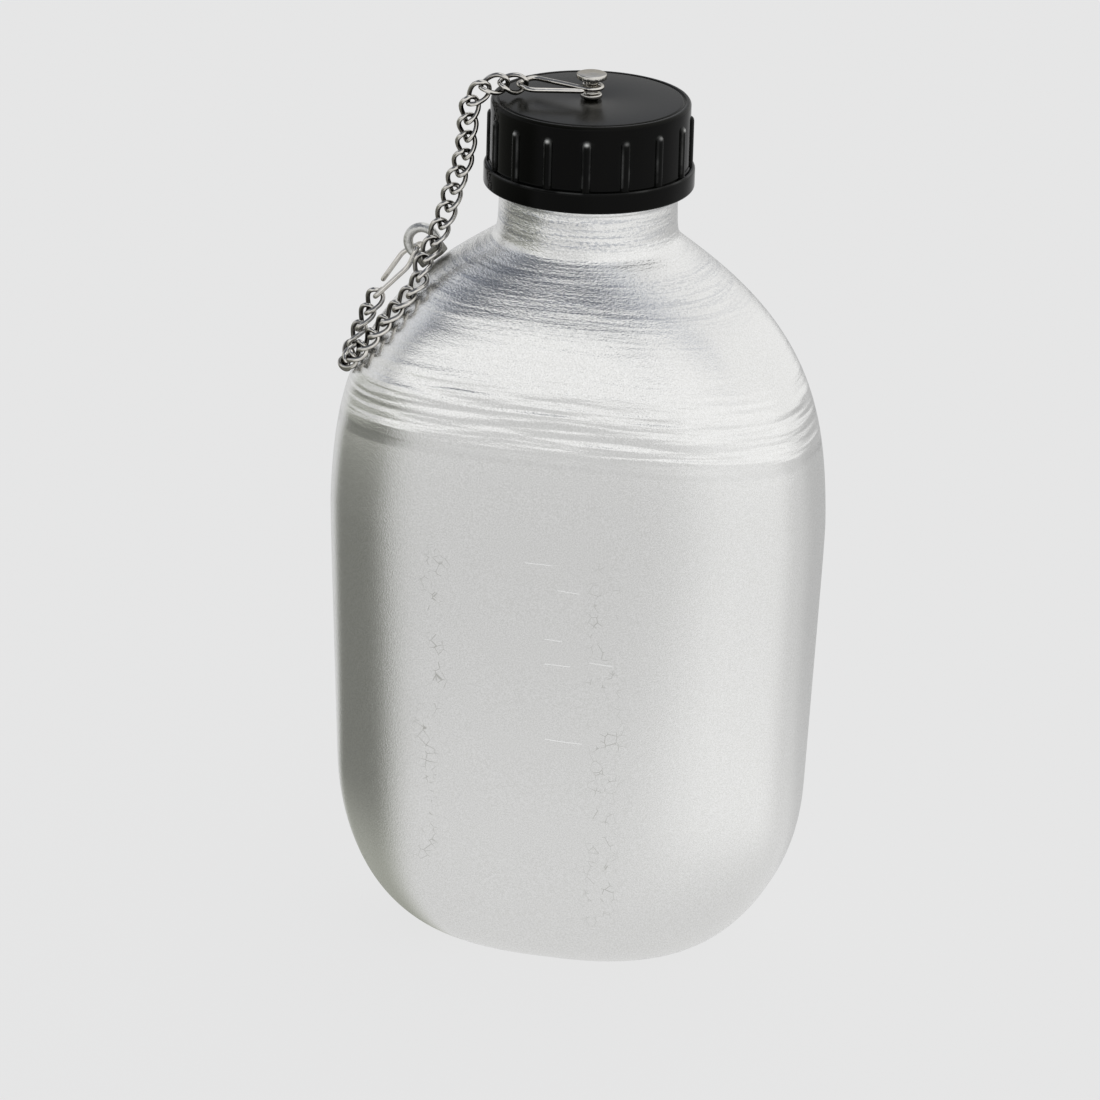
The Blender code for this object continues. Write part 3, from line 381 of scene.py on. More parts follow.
def mouldedPlastic():
    finish = capFinish
    material, tree = newMaterial("black moulded phenolic")
    place = addNode(tree, "TexCoord").outputs["Object"]
    z = addNode(tree, "SeparateXYZ", [place]).outputs["Z"]
    onTop = addNode(tree, "MapRange", [z, *finish["topFrom"], 0.0, 1.0], **smoothly)
    peel, fine = (addNode(tree, "TexNoise", {"Vector": place, "Scale": finish[key], "Detail": 2.0, "Roughness": 0.5})
                  for key in ("peelPerMetre", "finePerMetre"))
    peelSwing = addNode(tree, "Math", [peel, 0.5], operation="SUBTRACT")
    # painted highlights on the ribs and the band's upper edge, pale in patches
    paintedHighlight = addNode(tree, "Attribute", attribute_name="paintedHighlight").outputs["Fac"]
    uneven = addNode(tree, "TexNoise", {"Vector": place, "Scale": finish["highlightPatchesPerMetre"], "Detail": 2.0,
                                        "Roughness": 0.6})
    uneven = addNode(tree, "MapRange", [uneven, *finish["highlightPatchesIn"], finish["leastHighlight"], 1.0], **smoothly)
    patchy = addNode(tree, "Math", [paintedHighlight, uneven], operation="MULTIPLY")
    # the top gets the lighter black: painted light from above
    shade = hexColour(finish["black"])
    for share, colour in ((onTop, "litTopBlack"), (patchy, "paintedHighlight")):
        shade = addNode(tree, "Mix", {0: share, 6: shade, 7: hexColour(finish[colour])}, **inColour)
    rough = weightedSum(tree, (onTop, finish["topRoughness"]), (finish["roughness"], 1),
                        (peelSwing, finish["peelRoughness"]))
    height = weightedSum(tree, (peel, finish["peelHeight"]), (fine, finish["fineHeight"]))
    bump = addNode(tree, "Bump", {"Strength": finish["bumpStrength"], "Distance": finish["bumpDepth"],
                                  "Height": height})
    closeMaterial(tree, {"Base Color": shade, "Roughness": rough, "Normal": bump, "IOR": finish["refraction"],
                         "Specular IOR Level": finish["specularLevel"]})
    return material


# Bright nickel plate on steel wire: a warm white metal, nearly a mirror, with blotches about 2 mm
# wide. On the chain, painted shade darkens the inside of each link, where the next links shade it,
# and a dark edge tint darkens its edges as painted shade too.
nickelFinish = {"inside": "#35332f", "insideShadeShare": 0.88, "blotchesPerMetre": 500, "roughness": (0.05, 0.11),
                "bumpStrength": 0.15, "bumpDepth": 0.0005}


def nickelPlate(name, dark, pale, edge):
    finish = nickelFinish
    material, tree = newMaterial(name)
    place = addNode(tree, "TexCoord").outputs["Object"]
    blotches = addNode(tree, "TexNoise", {"Vector": place, "Scale": finish["blotchesPerMetre"], "Detail": 3.0,
                                          "Roughness": 0.6})
    # painted shade on the side of each chain link that faces the middle of its loop
    inside = addNode(tree, "Attribute", attribute_name="inside").outputs["Fac"]
    inside = addNode(tree, "Math", [inside, finish["insideShadeShare"]], operation="MULTIPLY")
    shade = addNode(tree, "Mix", {0: blotches, 6: hexColour(dark), 7: hexColour(pale)}, **inColour)
    shade = addNode(tree, "Mix", {0: inside, 6: shade, 7: hexColour(finish["inside"])}, **inColour)
    rough = addNode(tree, "MapRange", [blotches, *mostNoise, *finish["roughness"]], **smoothly)
    bump = addNode(tree, "Bump", {"Strength": finish["bumpStrength"], "Distance": finish["bumpDepth"],
                                  "Height": blotches})
    closeMaterial(tree, {"Base Color": shade, "Roughness": rough, "Normal": bump, "Metallic": 1.0,
                         "Specular Tint": hexColour(edge)})
    return material


# Cast aluminium, tumbled: pale and soft, with a skin of small dents about 0.6 mm wide. The lug is
# cast too, and wears a darker copy of it: painted shade.
castFinish = {"dentsPerMetre": 1600, "roughness": (0.34, 0.46), "bumpStrength": 0.25, "bumpDepth": 0.0005}


def castAluminium(name, dark, pale):
    finish = castFinish
    material, tree = newMaterial(name)
    place = addNode(tree, "TexCoord").outputs["Object"]
    dents = addNode(tree, "TexNoise", {"Vector": place, "Scale": finish["dentsPerMetre"], "Detail": 2.0,
                                       "Roughness": 0.5})
    shade = addNode(tree, "Mix", {0: dents, 6: hexColour(dark), 7: hexColour(pale)}, **inColour)
    rough = addNode(tree, "MapRange", [dents, *mostNoise, *finish["roughness"]], **smoothly)
    bump = addNode(tree, "Bump", {"Strength": finish["bumpStrength"], "Distance": finish["bumpDepth"],
                                  "Height": dents})
    closeMaterial(tree, {"Base Color": shade, "Roughness": rough, "Normal": bump, "Metallic": 1.0})
    return material


# Sealing rubber: nitrile, grey and dull, with a faint bloom in patches about 3 mm wide.
rubberFinish = {"dark": "#4a4946", "pale": "#5c5b58", "bloomPerMetre": 300, "roughness": (0.6, 0.75)}


def sealingRubber():
    finish = rubberFinish
    material, tree = newMaterial("grey nitrile rubber")
    place = addNode(tree, "TexCoord").outputs["Object"]
    bloom = addNode(tree, "TexNoise", {"Vector": place, "Scale": finish["bloomPerMetre"], "Detail": 3.0,
                                       "Roughness": 0.6})
    shade = addNode(tree, "Mix", {0: bloom, 6: hexColour(finish["dark"]), 7: hexColour(finish["pale"])}, **inColour)
    rough = addNode(tree, "MapRange", [bloom, *mostNoise, *finish["roughness"]], **smoothly)
    closeMaterial(tree, {"Base Color": shade, "Roughness": rough})
    return material


# A piece wears one material.
def wear(thing, material):
    thing.data.materials.clear()
    thing.data.materials.append(material)


aluminium = spunAluminium()
plastic = mouldedPlastic()
nickel = nickelPlate("bright nickel plate", "#c2bfb9", "#e4e1db", "#c5c2bc")
# the chain's dark edge tint is painted shade at the wires' edges
chainNickel = nickelPlate("chain nickel plate with painted shade", "#b4b1ab", "#f1eee8", "#33312e")
castMetal = castAluminium("tumbled cast aluminium", "#cfcfcb", "#dededb")
# a darker copy for the lug: painted shade
shadedCastMetal = castAluminium("cast aluminium in painted shade", "#5e5d56", "#7d7c74")
rubber = sealingRubber()
print("materials made")


# Lengths in mm. The squareness and the powers are those of the superellipses that shape the skin,
# and the tapers are shares of the width and the depth that are lost at the base.
bottle = {
    "halfWidth": 59.0, "frontDepth": 37.0, "frontDrawIn": 5.0, "backDepth": 33.0, "backBow": 7.0,
    "frontSquareness": 2.7, "backSquareness": 2.1, "wall": 1.0,
    "baseHalfWidth": 18.0, "baseHalfDepth": 15.0,
    "baseRoundEnds": 43.0, "baseRoundSides": 21.5, "basePowerEnds": 2.2, "basePowerSides": 2.8,
    "taperStart": 108.0, "taperWidth": 0.080, "taperDepth": 0.048,
    "neckFoot": 175.0, "shoulderHeight": 94.0, "shoulderPower": 4.45, "neckBlend": 0.07,
    "neckRadius": 20.75, "beadHeight": 186.5, "beadRise": 0.45, "mouthHeight": 203.6,
    "threadPitch": 3.2, "threadMid": 19.6, "threadDepth": 0.55, "threadLow": 191.0, "threadHigh": 201.2,
    "threadFade": 1.2, "plainTop": 185.4, "beadHalfHeight": 0.95, "boreTop": 200.0, "columns": 288,
    "rows": {"rounding": 44, "side": 12, "shoulder": 74, "neck": 14, "bead": 24, "thread": 50, "lip": 9},
    "innerFrom": 14,                    # the inner wall leaves the floor this many rows up the skin
}
threadFoot = bottle["threadLow"] - 1.8 * bottle["threadFade"]      # the plain neck turns into the thread from here


# Outline of the body seen from above: |x/a| and |y/b| to a power sum to one, with the front drawn
# in and the back bowed out by a parabola across the width.
def bodyOutline(turn, margin=0.0):
    c, s = np.cos(turn), np.sin(turn)
    front = s < 0
    power = np.where(front, 2 / bottle["frontSquareness"], 2 / bottle["backSquareness"])
    half = bottle["halfWidth"] - margin
    x = half * np.sign(c) * np.abs(c) ** power
    depth = np.where(front, -(bottle["frontDepth"] - margin), bottle["backDepth"] - margin)
    bow = np.where(front, bottle["frontDrawIn"], bottle["backBow"])
    return x, depth * np.abs(s) ** power + bow * (1 - (x / half) ** 2)


# A rise from 0 to 1 along a superellipse: the missing share of the height to a power, taken from
# one, to the power's inverse.
def roundedRise(height, full, power):
    return (1 - (1 - np.clip(height / full, 0, 1)) ** power) ** (1 / power)


# The skin as a function of turn and height: the outline, narrowed towards the base, drawn in to
# the flat base by a rounded rise, and blended with the neck's circle up the shoulder.
def skinPoints(turn, height):
    x, y = bodyOutline(turn)
    fall = np.clip((bottle["taperStart"] - height) / bottle["taperStart"], 0, 1)
    x = x * (1 - bottle["taperWidth"] * fall)
    y = y * (1 - bottle["taperDepth"] * fall)
    baseX, baseY = bottle["baseHalfWidth"] * np.cos(turn), bottle["baseHalfDepth"] * np.sin(turn)
    x = baseX + (x - baseX) * roundedRise(height, bottle["baseRoundEnds"], bottle["basePowerEnds"])
    y = baseY + (y - baseY) * roundedRise(height, bottle["baseRoundSides"], bottle["basePowerSides"])
    t = np.minimum((bottle["neckFoot"] - height) / bottle["shoulderHeight"], 1)
    share = 1 - np.sign(1 - t) * np.abs(1 - t) ** bottle["shoulderPower"]
    share = 0.5 * (share + np.sqrt(share ** 2 + bottle["neckBlend"] ** 2))
    neckX, neckY = bottle["neckRadius"] * np.cos(turn), bottle["neckRadius"] * np.sin(turn)
    grid = np.stack([neckX + (x - neckX) * share, neckY + (y - neckY) * share, height + 0 * x], axis=-1)
    return grid * mm


# Outward normals of a grid, from the directions of its columns and rows.
def gridNormals(grid):
    across = np.roll(grid, -1, axis=1) - np.roll(grid, 1, axis=1)
    along = np.gradient(grid, axis=0)
    return unit(np.cross(across, along))


# Circles about Z: one row for each radius and height in mm.
def circleRows(turn, radius, height):
    radius, height = np.broadcast_arrays(radius, np.asarray(height, dtype=float))
    return np.stack([radius * np.cos(turn), radius * np.sin(turn), height + 0 * turn], axis=-1) * mm


# Radius of the neck above its plain part: a cosine wave that climbs one pitch each turn.
def neckThread(turn, height):
    low, high, fade = bottle["threadLow"], bottle["threadHigh"], bottle["threadFade"]
    share = smoothStep(height, low, low + fade) * (1 - smoothStep(height, high - fade, high))
    root = bottle["threadMid"] - bottle["threadDepth"]
    wave = np.cos(2 * pi * height / bottle["threadPitch"] - turn)
    threaded = root + bottle["threadDepth"] * share * (1 + wave)
    plain = 1 - smoothStep(height, threadFoot, low)
    return threaded + (bottle["neckRadius"] - threaded) * plain


# Rows run from the middle of the base up the skin, the bead and the thread, over the lip and down
# the inner wall to the floor. The skin's rows crowd where it bends most.
def makeBottle():
    turn = (np.arange(bottle["columns"]) * 2 * pi / bottle["columns"])[None, :]
    rows = bottle["rows"]
    rounding = bottle["baseRoundEnds"] * np.linspace(0, 1, rows["rounding"]) ** 2.2
    side = np.linspace(bottle["baseRoundEnds"], bottle["neckFoot"] - bottle["shoulderHeight"], rows["side"])[1:]
    downShoulder = (1 - np.linspace(0, 1, rows["shoulder"])[1:-1]) ** 1.5
    shoulder = bottle["neckFoot"] - bottle["shoulderHeight"] * downShoulder
    neck = np.linspace(bottle["neckFoot"], bottle["plainTop"], rows["neck"])
    heights = np.concatenate([rounding, side, shoulder, neck])[:, None]
    skin = skinPoints(turn, heights)
    # the bead: a smooth hump round the neck
    beads = np.linspace(bottle["plainTop"] + 0.15, threadFoot - 0.1, rows["bead"])[:, None]
    hump = np.clip(1 - ((beads - bottle["beadHeight"]) / bottle["beadHalfHeight"]) ** 2, 0, 1) ** 1.5
    rise = bottle["beadRise"] * hump
    outward = np.stack([np.cos(turn), np.sin(turn), 0 * turn], axis=-1)
    bead = skinPoints(turn, beads) + rise[..., None] * mm * outward
    threads = np.linspace(threadFoot, bottle["threadHigh"], rows["thread"])[:, None]
    thread = circleRows(turn, neckThread(turn, threads), threads)
    root = bottle["threadMid"] - bottle["threadDepth"]
    bore = root - bottle["wall"]
    # half a circle over the lip, and a bore that widens to the neck's inside under the thread
    lipTurn = np.linspace(0, pi, rows["lip"])[:, None]
    lipRadius = 0.5 * bottle["wall"]
    lip = circleRows(turn, 0.5 * (root + bore) + lipRadius * np.cos(lipTurn),
                     bottle["mouthHeight"] - lipRadius + lipRadius * np.sin(lipTurn))
    inMouth = circleRows(turn, np.array([[bore], [bore], [bottle["neckRadius"] - bottle["wall"]]]),
                         np.array([[bottle["boreTop"]], [threadFoot], [threadFoot - 1.5]]))
    # the inner wall: every other row of the skin, moved in along its normals. The floor and the
    # foot are flat, in rings that shrink towards the middle.
    inside = (skin - bottle["wall"] * mm * gridNormals(skin))[bottle["innerFrom"]::2][::-1]
    base = skinPoints(turn, np.zeros((1, 1)))
    floor = np.concatenate([base * 0.9, base * 0.36]) + np.array([0, 0, bottle["wall"] * mm])
    foot = base * 0.5
    grid = np.concatenate([foot, skin, bead, thread, lip, inMouth, inside, floor])
    steps = np.linalg.norm(np.diff(grid, axis=0), axis=2).mean(axis=1)
    ringLength = np.concatenate([[0], np.cumsum(steps)])[:, None] + np.zeros(grid.shape[1])
    thing = gridMesh("bottleShell", grid, pointValues={"ringLength": ringLength}, sharpAngle=60)
    wear(thing, aluminium)
    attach(thing, "bottle")
    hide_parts("bottle")


makeBottle()
print("bottle made")


# Lengths in mm, and the place of one rib in degrees about Z.
cap = {
    "top": 208.0, "foot": 187.5, "wallRadius": 23.3, "ceiling": 205.8, "holeRadius": 1.8,
    "flangeRadius": 24.6, "flangeHeight": 5.2, "ribCount": 16, "ribStart": 12.3, "ribHeight": 0.75, "ribWidth": 2.2,
    "ribTop": 204.6, "threadLow": 195.0, "clearance": 0.4, "skirtRadius": 21.25,
    "topRounding": 0.25, "bandRounding": 0.3, "ribColumns": 15, "gapColumns": 9,
    "edgeHighlight": 0.10, "bandHighlight": 0.08,       # how much of the painted highlight's colour the edges show
}
# Painted highlights on a rib, as shares of its half width: how far off its middle line or under its
# top, and how wide. The edges' highlights come in over a range below the top.
ribHighlightShape = {"edgeOff": 0.74, "edgeWidth": 0.14, "edgeFrom": (0.5, 1.0), "spotWidth": 0.45, "spotBelow": 0.55,
            "spotHeight": 0.35}


# Bore of the cap: the same wave as the neck's, a clearance away from it.
def capBore(turn, height):
    low, high, fade = cap["threadLow"], bottle["threadHigh"], bottle["threadFade"]
    share = smoothStep(height, low, low + fade) * (1 - smoothStep(height, high - fade, high))
    root = bottle["threadMid"] + bottle["threadDepth"] + cap["clearance"]
    wave = np.cos(2 * pi * height / bottle["threadPitch"] - turn)
    threaded = root - bottle["threadDepth"] * share * (1 - wave)
    skirt = 1 - smoothStep(height, bottle["threadLow"], bottle["threadLow"] + 1.5 * fade)
    return threaded + (cap["skirtRadius"] - threaded) * skirt


# How far round from the middle of the nearest rib, where 1 is the rib's edge.
def acrossRib(turn):
    gap = 2 * pi / cap["ribCount"]
    off = (turn - radians(cap["ribStart"]) + 0.5 * gap) % gap - 0.5 * gap
    return off * cap["wallRadius"] / (0.5 * cap["ribWidth"])


# Height of a rib above the wall: half round across, and rounded off like a ball at its top.
def ribRise(turn, height):
    half = 0.5 * cap["ribWidth"]
    over = np.clip((height - (cap["ribTop"] - half)) / half, 0, None)
    return cap["ribHeight"] * np.sqrt(np.clip(1 - acrossRib(turn) ** 2 - over ** 2, 0, 1))


# Painted highlights on a rib: a thin line along each edge, and a spot on its upper end. Both are
# bell curves of the distance from the middle of the mark.
def ribHighlights(turn, height):
    across = acrossRib(turn)
    below = (cap["ribTop"] - height) / (0.5 * cap["ribWidth"])
    edge = np.exp(-((np.abs(across) - ribHighlightShape["edgeOff"]) / ribHighlightShape["edgeWidth"]) ** 2)
    edge = edge * smoothStep(below, *ribHighlightShape["edgeFrom"])
    spot = np.exp(-(across / ribHighlightShape["spotWidth"]) ** 2
                  - ((below - ribHighlightShape["spotBelow"]) / ribHighlightShape["spotHeight"]) ** 2)
    return np.clip(cap["edgeHighlight"] * edge + spot, 0, 1)


# Rows run from the rivet's hole over the top, down the ribs and the band, and up the bore again.
# Columns crowd on each rib, in equal steps of the angle across it.
def makeCap():
    gap = 2 * pi / cap["ribCount"]
    half = 0.5 * cap["ribWidth"] / cap["wallRadius"]
    onRib = -half * np.cos(np.linspace(0, pi, cap["ribColumns"]))
    inGap = np.linspace(half, gap - half, cap["gapColumns"])[1:-1]
    offsets = np.concatenate([onRib, inGap])
    turn = radians(cap["ribStart"]) + (np.arange(cap["ribCount"])[:, None] * gap + offsets[None, :]).reshape(1, -1)
    wall = cap["wallRadius"]
    # a shallow groove runs round the top, just inside its bevelled rim
    rimTop = softProfile([(cap["holeRadius"], cap["ceiling"]), (cap["holeRadius"], cap["top"]),
                          (wall - 1.9, cap["top"]), (wall - 1.55, cap["top"] - 0.35), (wall - 1.2, cap["top"]),
                          (wall - 0.45, cap["top"]), (wall, cap["top"] - 0.6), (wall, cap["ribTop"] + 0.3)],
                         cap["topRounding"])
    # the band's upper and lower edges are bevelled too
    flangeTop = cap["foot"] + cap["flangeHeight"]
    flange = softProfile([(wall, flangeTop + 0.6), (wall, flangeTop), (cap["flangeRadius"] - 0.35, flangeTop - 0.15),
                          (cap["flangeRadius"], flangeTop - 0.6), (cap["flangeRadius"], cap["foot"] + 0.35),
                          (cap["flangeRadius"] - 0.4, cap["foot"]), (cap["skirtRadius"], cap["foot"])],
                         cap["bandRounding"])
    ribRows = np.concatenate([np.linspace(cap["ribTop"] + 0.1, cap["ribTop"] - 1.4, 16),
                              np.linspace(cap["ribTop"] - 2.2, flangeTop + 0.9, 10)])[:, None]
    top = circleRows(turn, rimTop[:, 0:1] + 0 * turn, rimTop[:, 1:2])
    ribs = circleRows(turn, wall + ribRise(turn, ribRows), ribRows)
    lowRise = ribRise(turn, flange[:, 1:2]) * (flange[:, 1:2] > flangeTop - 0.05) * (flange[:, 0:1] < wall + 0.4)
    band = circleRows(turn, np.maximum(flange[:, 0:1], wall + lowRise), flange[:, 1:2])
    boreRows = np.concatenate([np.linspace(cap["foot"] + 0.3, cap["threadLow"], 10),
                               np.linspace(cap["threadLow"] + 0.25, bottle["threadHigh"], 30),
                               [cap["ceiling"]]])[:, None]
    bore = circleRows(turn, capBore(turn, boreRows), boreRows)
    grid = np.concatenate([top, ribs, band, bore])
    # the band's upper edge gets a painted highlight too, as a bell curve of the distance from it
    onEdge = np.exp(-((flange - (cap["flangeRadius"] - 0.25, flangeTop - 0.3)) ** 2).sum(axis=1) / 0.04)
    paintedHighlight = np.concatenate([np.zeros(top.shape[:2]), ribHighlights(turn, ribRows),
                             cap["bandHighlight"] * onEdge[:, None] + 0 * turn, np.zeros(bore.shape[:2])])
    thing = gridMesh("screwCap", grid, wrapRows=True, pointValues={"paintedHighlight": paintedHighlight}, sharpAngle=55)
    wear(thing, plastic)
    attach(thing, "cap")
    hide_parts("cap")


makeCap()
wear(frame["nodes"]["cap_gasket"], rubber)
print("cap made")


# Radii and heights in mm.
rivet = {"footRadius": 3.0, "foot": 204.7, "ceiling": 205.5, "shank": 1.5, "collarRadius": 2.5, "collar": 208.3,
         "collarHeight": 1.0, "headRadius": 3.5, "head": 212.8, "headHeight": 1.3, "rounding": 0.3}


# Foot, shank, collar, shank again and head, as radius and height. The profile starts and ends just
# off the axis, where a fan closes it.
def makeRivet():
    r = rivet
    headTop, collarTop, offAxis = r["head"] + r["headHeight"], r["collar"] + r["collarHeight"], 0.02
    corners = [(offAxis, r["foot"]), (r["footRadius"], r["foot"]), (r["footRadius"], r["ceiling"]),
               (r["shank"], r["ceiling"]), (r["shank"], r["collar"]), (r["collarRadius"], r["collar"]),
               (r["collarRadius"], collarTop), (r["shank"], collarTop), (r["shank"], r["head"]),
               (r["headRadius"], r["head"]), (r["headRadius"], headTop), (offAxis, headTop)]
    thing = turnedPiece("capRivet", softProfile(corners, r["rounding"]))
    wear(thing, nickel)
    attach(thing, "cap")
    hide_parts("cap_rivet")


makeRivet()


# Lengths in mm. The wire's thickness is that of both clips.
clip = {"wire": 1.2, "level": 210.875, "turnRadius": 2.4, "reach": 16.9, "taper": 4.0, "front": 7.6, "back": 2.6,
        "cutEnd": 4.3, "tip": 0.475,        # the tip lies forward by a share of the front's reach
        "backTaper": 0.55, "barEnd": -0.41, "rounding": 1.5, "wrap": (-118, 142)}   # wrap in degrees round the rivet
hookPlace = np.array([-clip["reach"] + 0.6 * clip["wire"], -clip["tip"] * clip["front"], clip["level"]])


# The cap's clip: straight bars with bent corners, then an arc round the rivet's neck.
def makeCapClip():
    level = clip["level"]
    corners = [(-clip["wire"], -clip["cutEnd"], level), (clip["taper"] - clip["reach"], -clip["front"], level),
               (-clip["reach"], -clip["tip"] * clip["front"], level),
               (clip["backTaper"] * clip["taper"] - clip["reach"], clip["back"], level),
               (clip["barEnd"] * clip["reach"], 0.0, level)]
    bars = softProfile(corners, clip["rounding"] * clip["wire"], steps=9)
    angle = np.radians(np.linspace(*clip["wrap"], 30))
    wrap = np.stack([clip["turnRadius"] * np.cos(angle), clip["turnRadius"] * np.sin(angle), level + 0 * angle],
                    axis=1)
    thing = barAlong("capClip", np.vstack([bars, wrap]) * mm, 0.5 * clip["wire"] * mm, (0, 0, 1))
    wear(thing, nickel)
    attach(thing, "clip")
    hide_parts("cap_clip")


makeCapClip()


# Lengths in mm. The radius runs to the middle of the wire, and the wire is given as a radius too.
eye = {"radius": 3.5, "wire": 1.15, "standOff": 5.45, "fromSide": 22.7, "lugLength": 6.8, "lugHeight": 2.9,
       "lugDepth": 4.6, "lugSquareness": 0.22, "seat": 0.45}


# The eye's foot on the shoulder at -X, with its outward normal and the way down the slope.
def eyeFoot():
    heights = np.linspace(bottle["neckFoot"] - bottle["shoulderHeight"], bottle["neckFoot"], 4000)[:, None]
    run = skinPoints(np.array([[pi]]), heights)[:, 0]
    k = int(np.argmin(np.abs(bottle["halfWidth"] * mm + run[:, 0] - eye["fromSide"] * mm)))
    down = unit(run[k - 1] - run[k + 1])
    return run[k], np.array([down[2], 0, -down[0]]), down


eyePoint, eyeNormal, eyeDown = eyeFoot()
eyeMiddle = eyePoint + eyeNormal * eye["standOff"] * mm
sideways = np.array([0.0, 1.0, 0.0])


# The eye is a round bar along an upright circle, and the lug is a low block under it.
def makeEye():
    angle = np.linspace(0, 2 * pi, 64, endpoint=False)[:, None]
    path = eyeMiddle + eye["radius"] * mm * (eyeDown * np.cos(angle) + eyeNormal * np.sin(angle))
    ring = barAlong("shoulderEye", path, eye["wire"] * mm, sideways, spokes=24, closed=True)
    # the lug: a superellipse outline carried up in rows, which shrink at its edges
    spoke = np.arange(64) * 2 * pi / 64
    c, s = np.cos(spoke), np.sin(spoke)
    outlineX = 0.5 * eye["lugLength"] * np.sign(c) * np.abs(c) ** eye["lugSquareness"]
    outlineY = 0.5 * eye["lugDepth"] * np.sign(s) * np.abs(s) ** eye["lugSquareness"]
    top = eye["lugHeight"] - eye["seat"]
    rise = np.array([0.0, 0.05, 0.2, 0.5, 1.2, top - 0.5, top - 0.2, top - 0.05, top])[:, None]
    inset = 1 - np.array([0.10, 0.05, 0.02, 0.0, 0.0, 0.0, 0.02, 0.05, 0.10])[:, None]
    grid = (eyePoint + eyeDown * (outlineX * inset * mm)[..., None] + sideways * (outlineY * inset * mm)[..., None]
            + eyeNormal * ((rise + eye["seat"]) * mm + 0 * spoke)[..., None])
    lug = gridMesh("shoulderLug", grid, sharpAngle=50)
    # the lug wears the darker copy of the cast metal, as painted shade
    for thing, metal in ((ring, castMetal), (lug, shadedCastMetal)):
        wear(thing, metal)
        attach(thing, "bottle")
        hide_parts("shoulder_eye")


makeEye()

# Lengths in mm, and how far it leans off the shoulder's slope in degrees.
shoulderClip = {"lean": 13.1, "besideEye": 0.45, "bend": 1.1 * clip["wire"], "freeLeg": 14.8, "length": 17.5,
                "halfWidth": 3.3}


# Corners of the shoulder's clip in mm. They are given from the eye's middle, as lengths along the
# way it hangs, out from the shoulder and sideways.
def shoulderClipPath():
    lean, bend = radians(shoulderClip["lean"]), shoulderClip["bend"]
    hang = eyeDown * np.cos(lean) - eyeNormal * np.sin(lean)
    outward = np.array([hang[2], 0.0, -hang[0]])
    leg = eye["wire"] + 0.5 * clip["wire"] + shoulderClip["besideEye"]
    corners = np.array([
        (shoulderClip["freeLeg"], bend, leg), (eye["radius"] + 2 * bend, 1.5 * bend, leg),
        (eye["radius"] - leg, 0.0, leg), (eye["radius"] - leg, 0.0, -leg), (eye["radius"] + 2 * bend, -bend, -leg),
        (shoulderClip["length"], 0.0, -shoulderClip["halfWidth"]),
        (shoulderClip["length"], 0.0, shoulderClip["halfWidth"])])
    return eyeMiddle / mm + corners @ np.stack([hang, outward, sideways])


shoulderClipCorners = shoulderClipPath()


# The shoulder's clip: a bent wire through the eye, with a free leg behind the ring.
def makeShoulderClip():
    path = softProfile(shoulderClipCorners, shoulderClip["bend"], steps=9) * mm
    reference = np.array([0.8, 0.1, -0.6])          # no part of the wire runs this way
    thing = barAlong("shoulderClip", path, 0.5 * clip["wire"] * mm, reference)
    wear(thing, nickel)
    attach(thing, "bottle")
    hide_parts("shoulder_clip")


makeShoulderClip()
print("rivet, eye and clips made")


# Lengths in mm, and the twist and the turn in degrees.
chain = {"wire": 1.1, "count": 25, "length": 7.5, "width": 5.3, "twist": 54.0, "play": 0.8, "besideCap": 4.0,
         "besideHeight": 198.7, "besideTurn": 195.2, "lift": 0.3, "slackLimits": (-12.0, 16.0), "squareness": 0.85,
         "firstFacing": (0.3, -0.82, 0.48), "lastFacing": (-0.45, -0.87, 0.2),
         "endOnClip": 0.2}          # where the last link hangs, as a share of the clip's lower bar

# The route in mm, as an offset from the start of its part and the way that the flat faces. It goes
# over the cap's edge and down to the shoulder. Each part is stretched to where its ends are.
overCapEdge = np.array([
    (-2.1, -1.3, 0.2, 0.2, -0.85, 0.5), (-4.6, -2.6, 0.3, 0.05, -0.85, 0.5), (-7.3, -3.7, -0.5, -0.05, -0.9, 0.4),
    (-9.5, -4.3, -2.7, -0.1, -1.0, 0.3), (-10.8, -4.4, -5.8, -0.1, -1.0, 0.2), (-11.4, -3.8, -12.2, -0.1, -1.0, 0.15)])
downToShoulder = np.array([
    (-0.6, 0.4, -5.3, -0.05, -1.0, 0.1), (-2.0, 0.4, -9.7, -0.05, -1.0, 0.1), (-3.2, 0.3, -14.2, -0.1, -1.0, 0.1),
    (-4.3, -0.1, -18.7, -0.15, -1.0, 0.15), (-5.7, -1.1, -23.2, -0.25, -0.95, 0.25),
    (-7.2, -3.1, -27.5, -0.35, -0.9, 0.4), (-8.6, -5.3, -31.3, -0.45, -0.8, 0.5),
    (-8.9, -7.3, -34.6, -0.52, -0.65, 0.6)])
# On the shoulder: turn about Z in degrees, mm below the eye's foot, mm of lift, and the facing.
loopOnShoulder = np.array([
    (206.5, 2.0, 0.2, -0.52, -0.65, 0.6), (208.7, 4.8, 0.0, -0.57, -0.58, 0.62), (209.7, 7.6, 0.0, -0.6, -0.52, 0.6),
    (209.5, 10.6, 0.0, -0.63, -0.5, 0.57), (208.3, 13.6, 0.0, -0.68, -0.5, 0.5), (206.2, 16.8, 0.0, -0.72, -0.5, 0.46),
    (202.8, 19.8, 0.0, -0.78, -0.45, 0.42), (198.2, 22.2, 0.0, -0.82, -0.4, 0.42),
    (192.5, 23.6, 0.0, -0.85, -0.35, 0.42), (187.0, 23.2, 0.2, -0.85, -0.35, 0.4),
    (183.2, 20.6, 0.6, -0.82, -0.4, 0.4), (181.8, 16.4, 1.0, -0.7, -0.6, 0.35)])


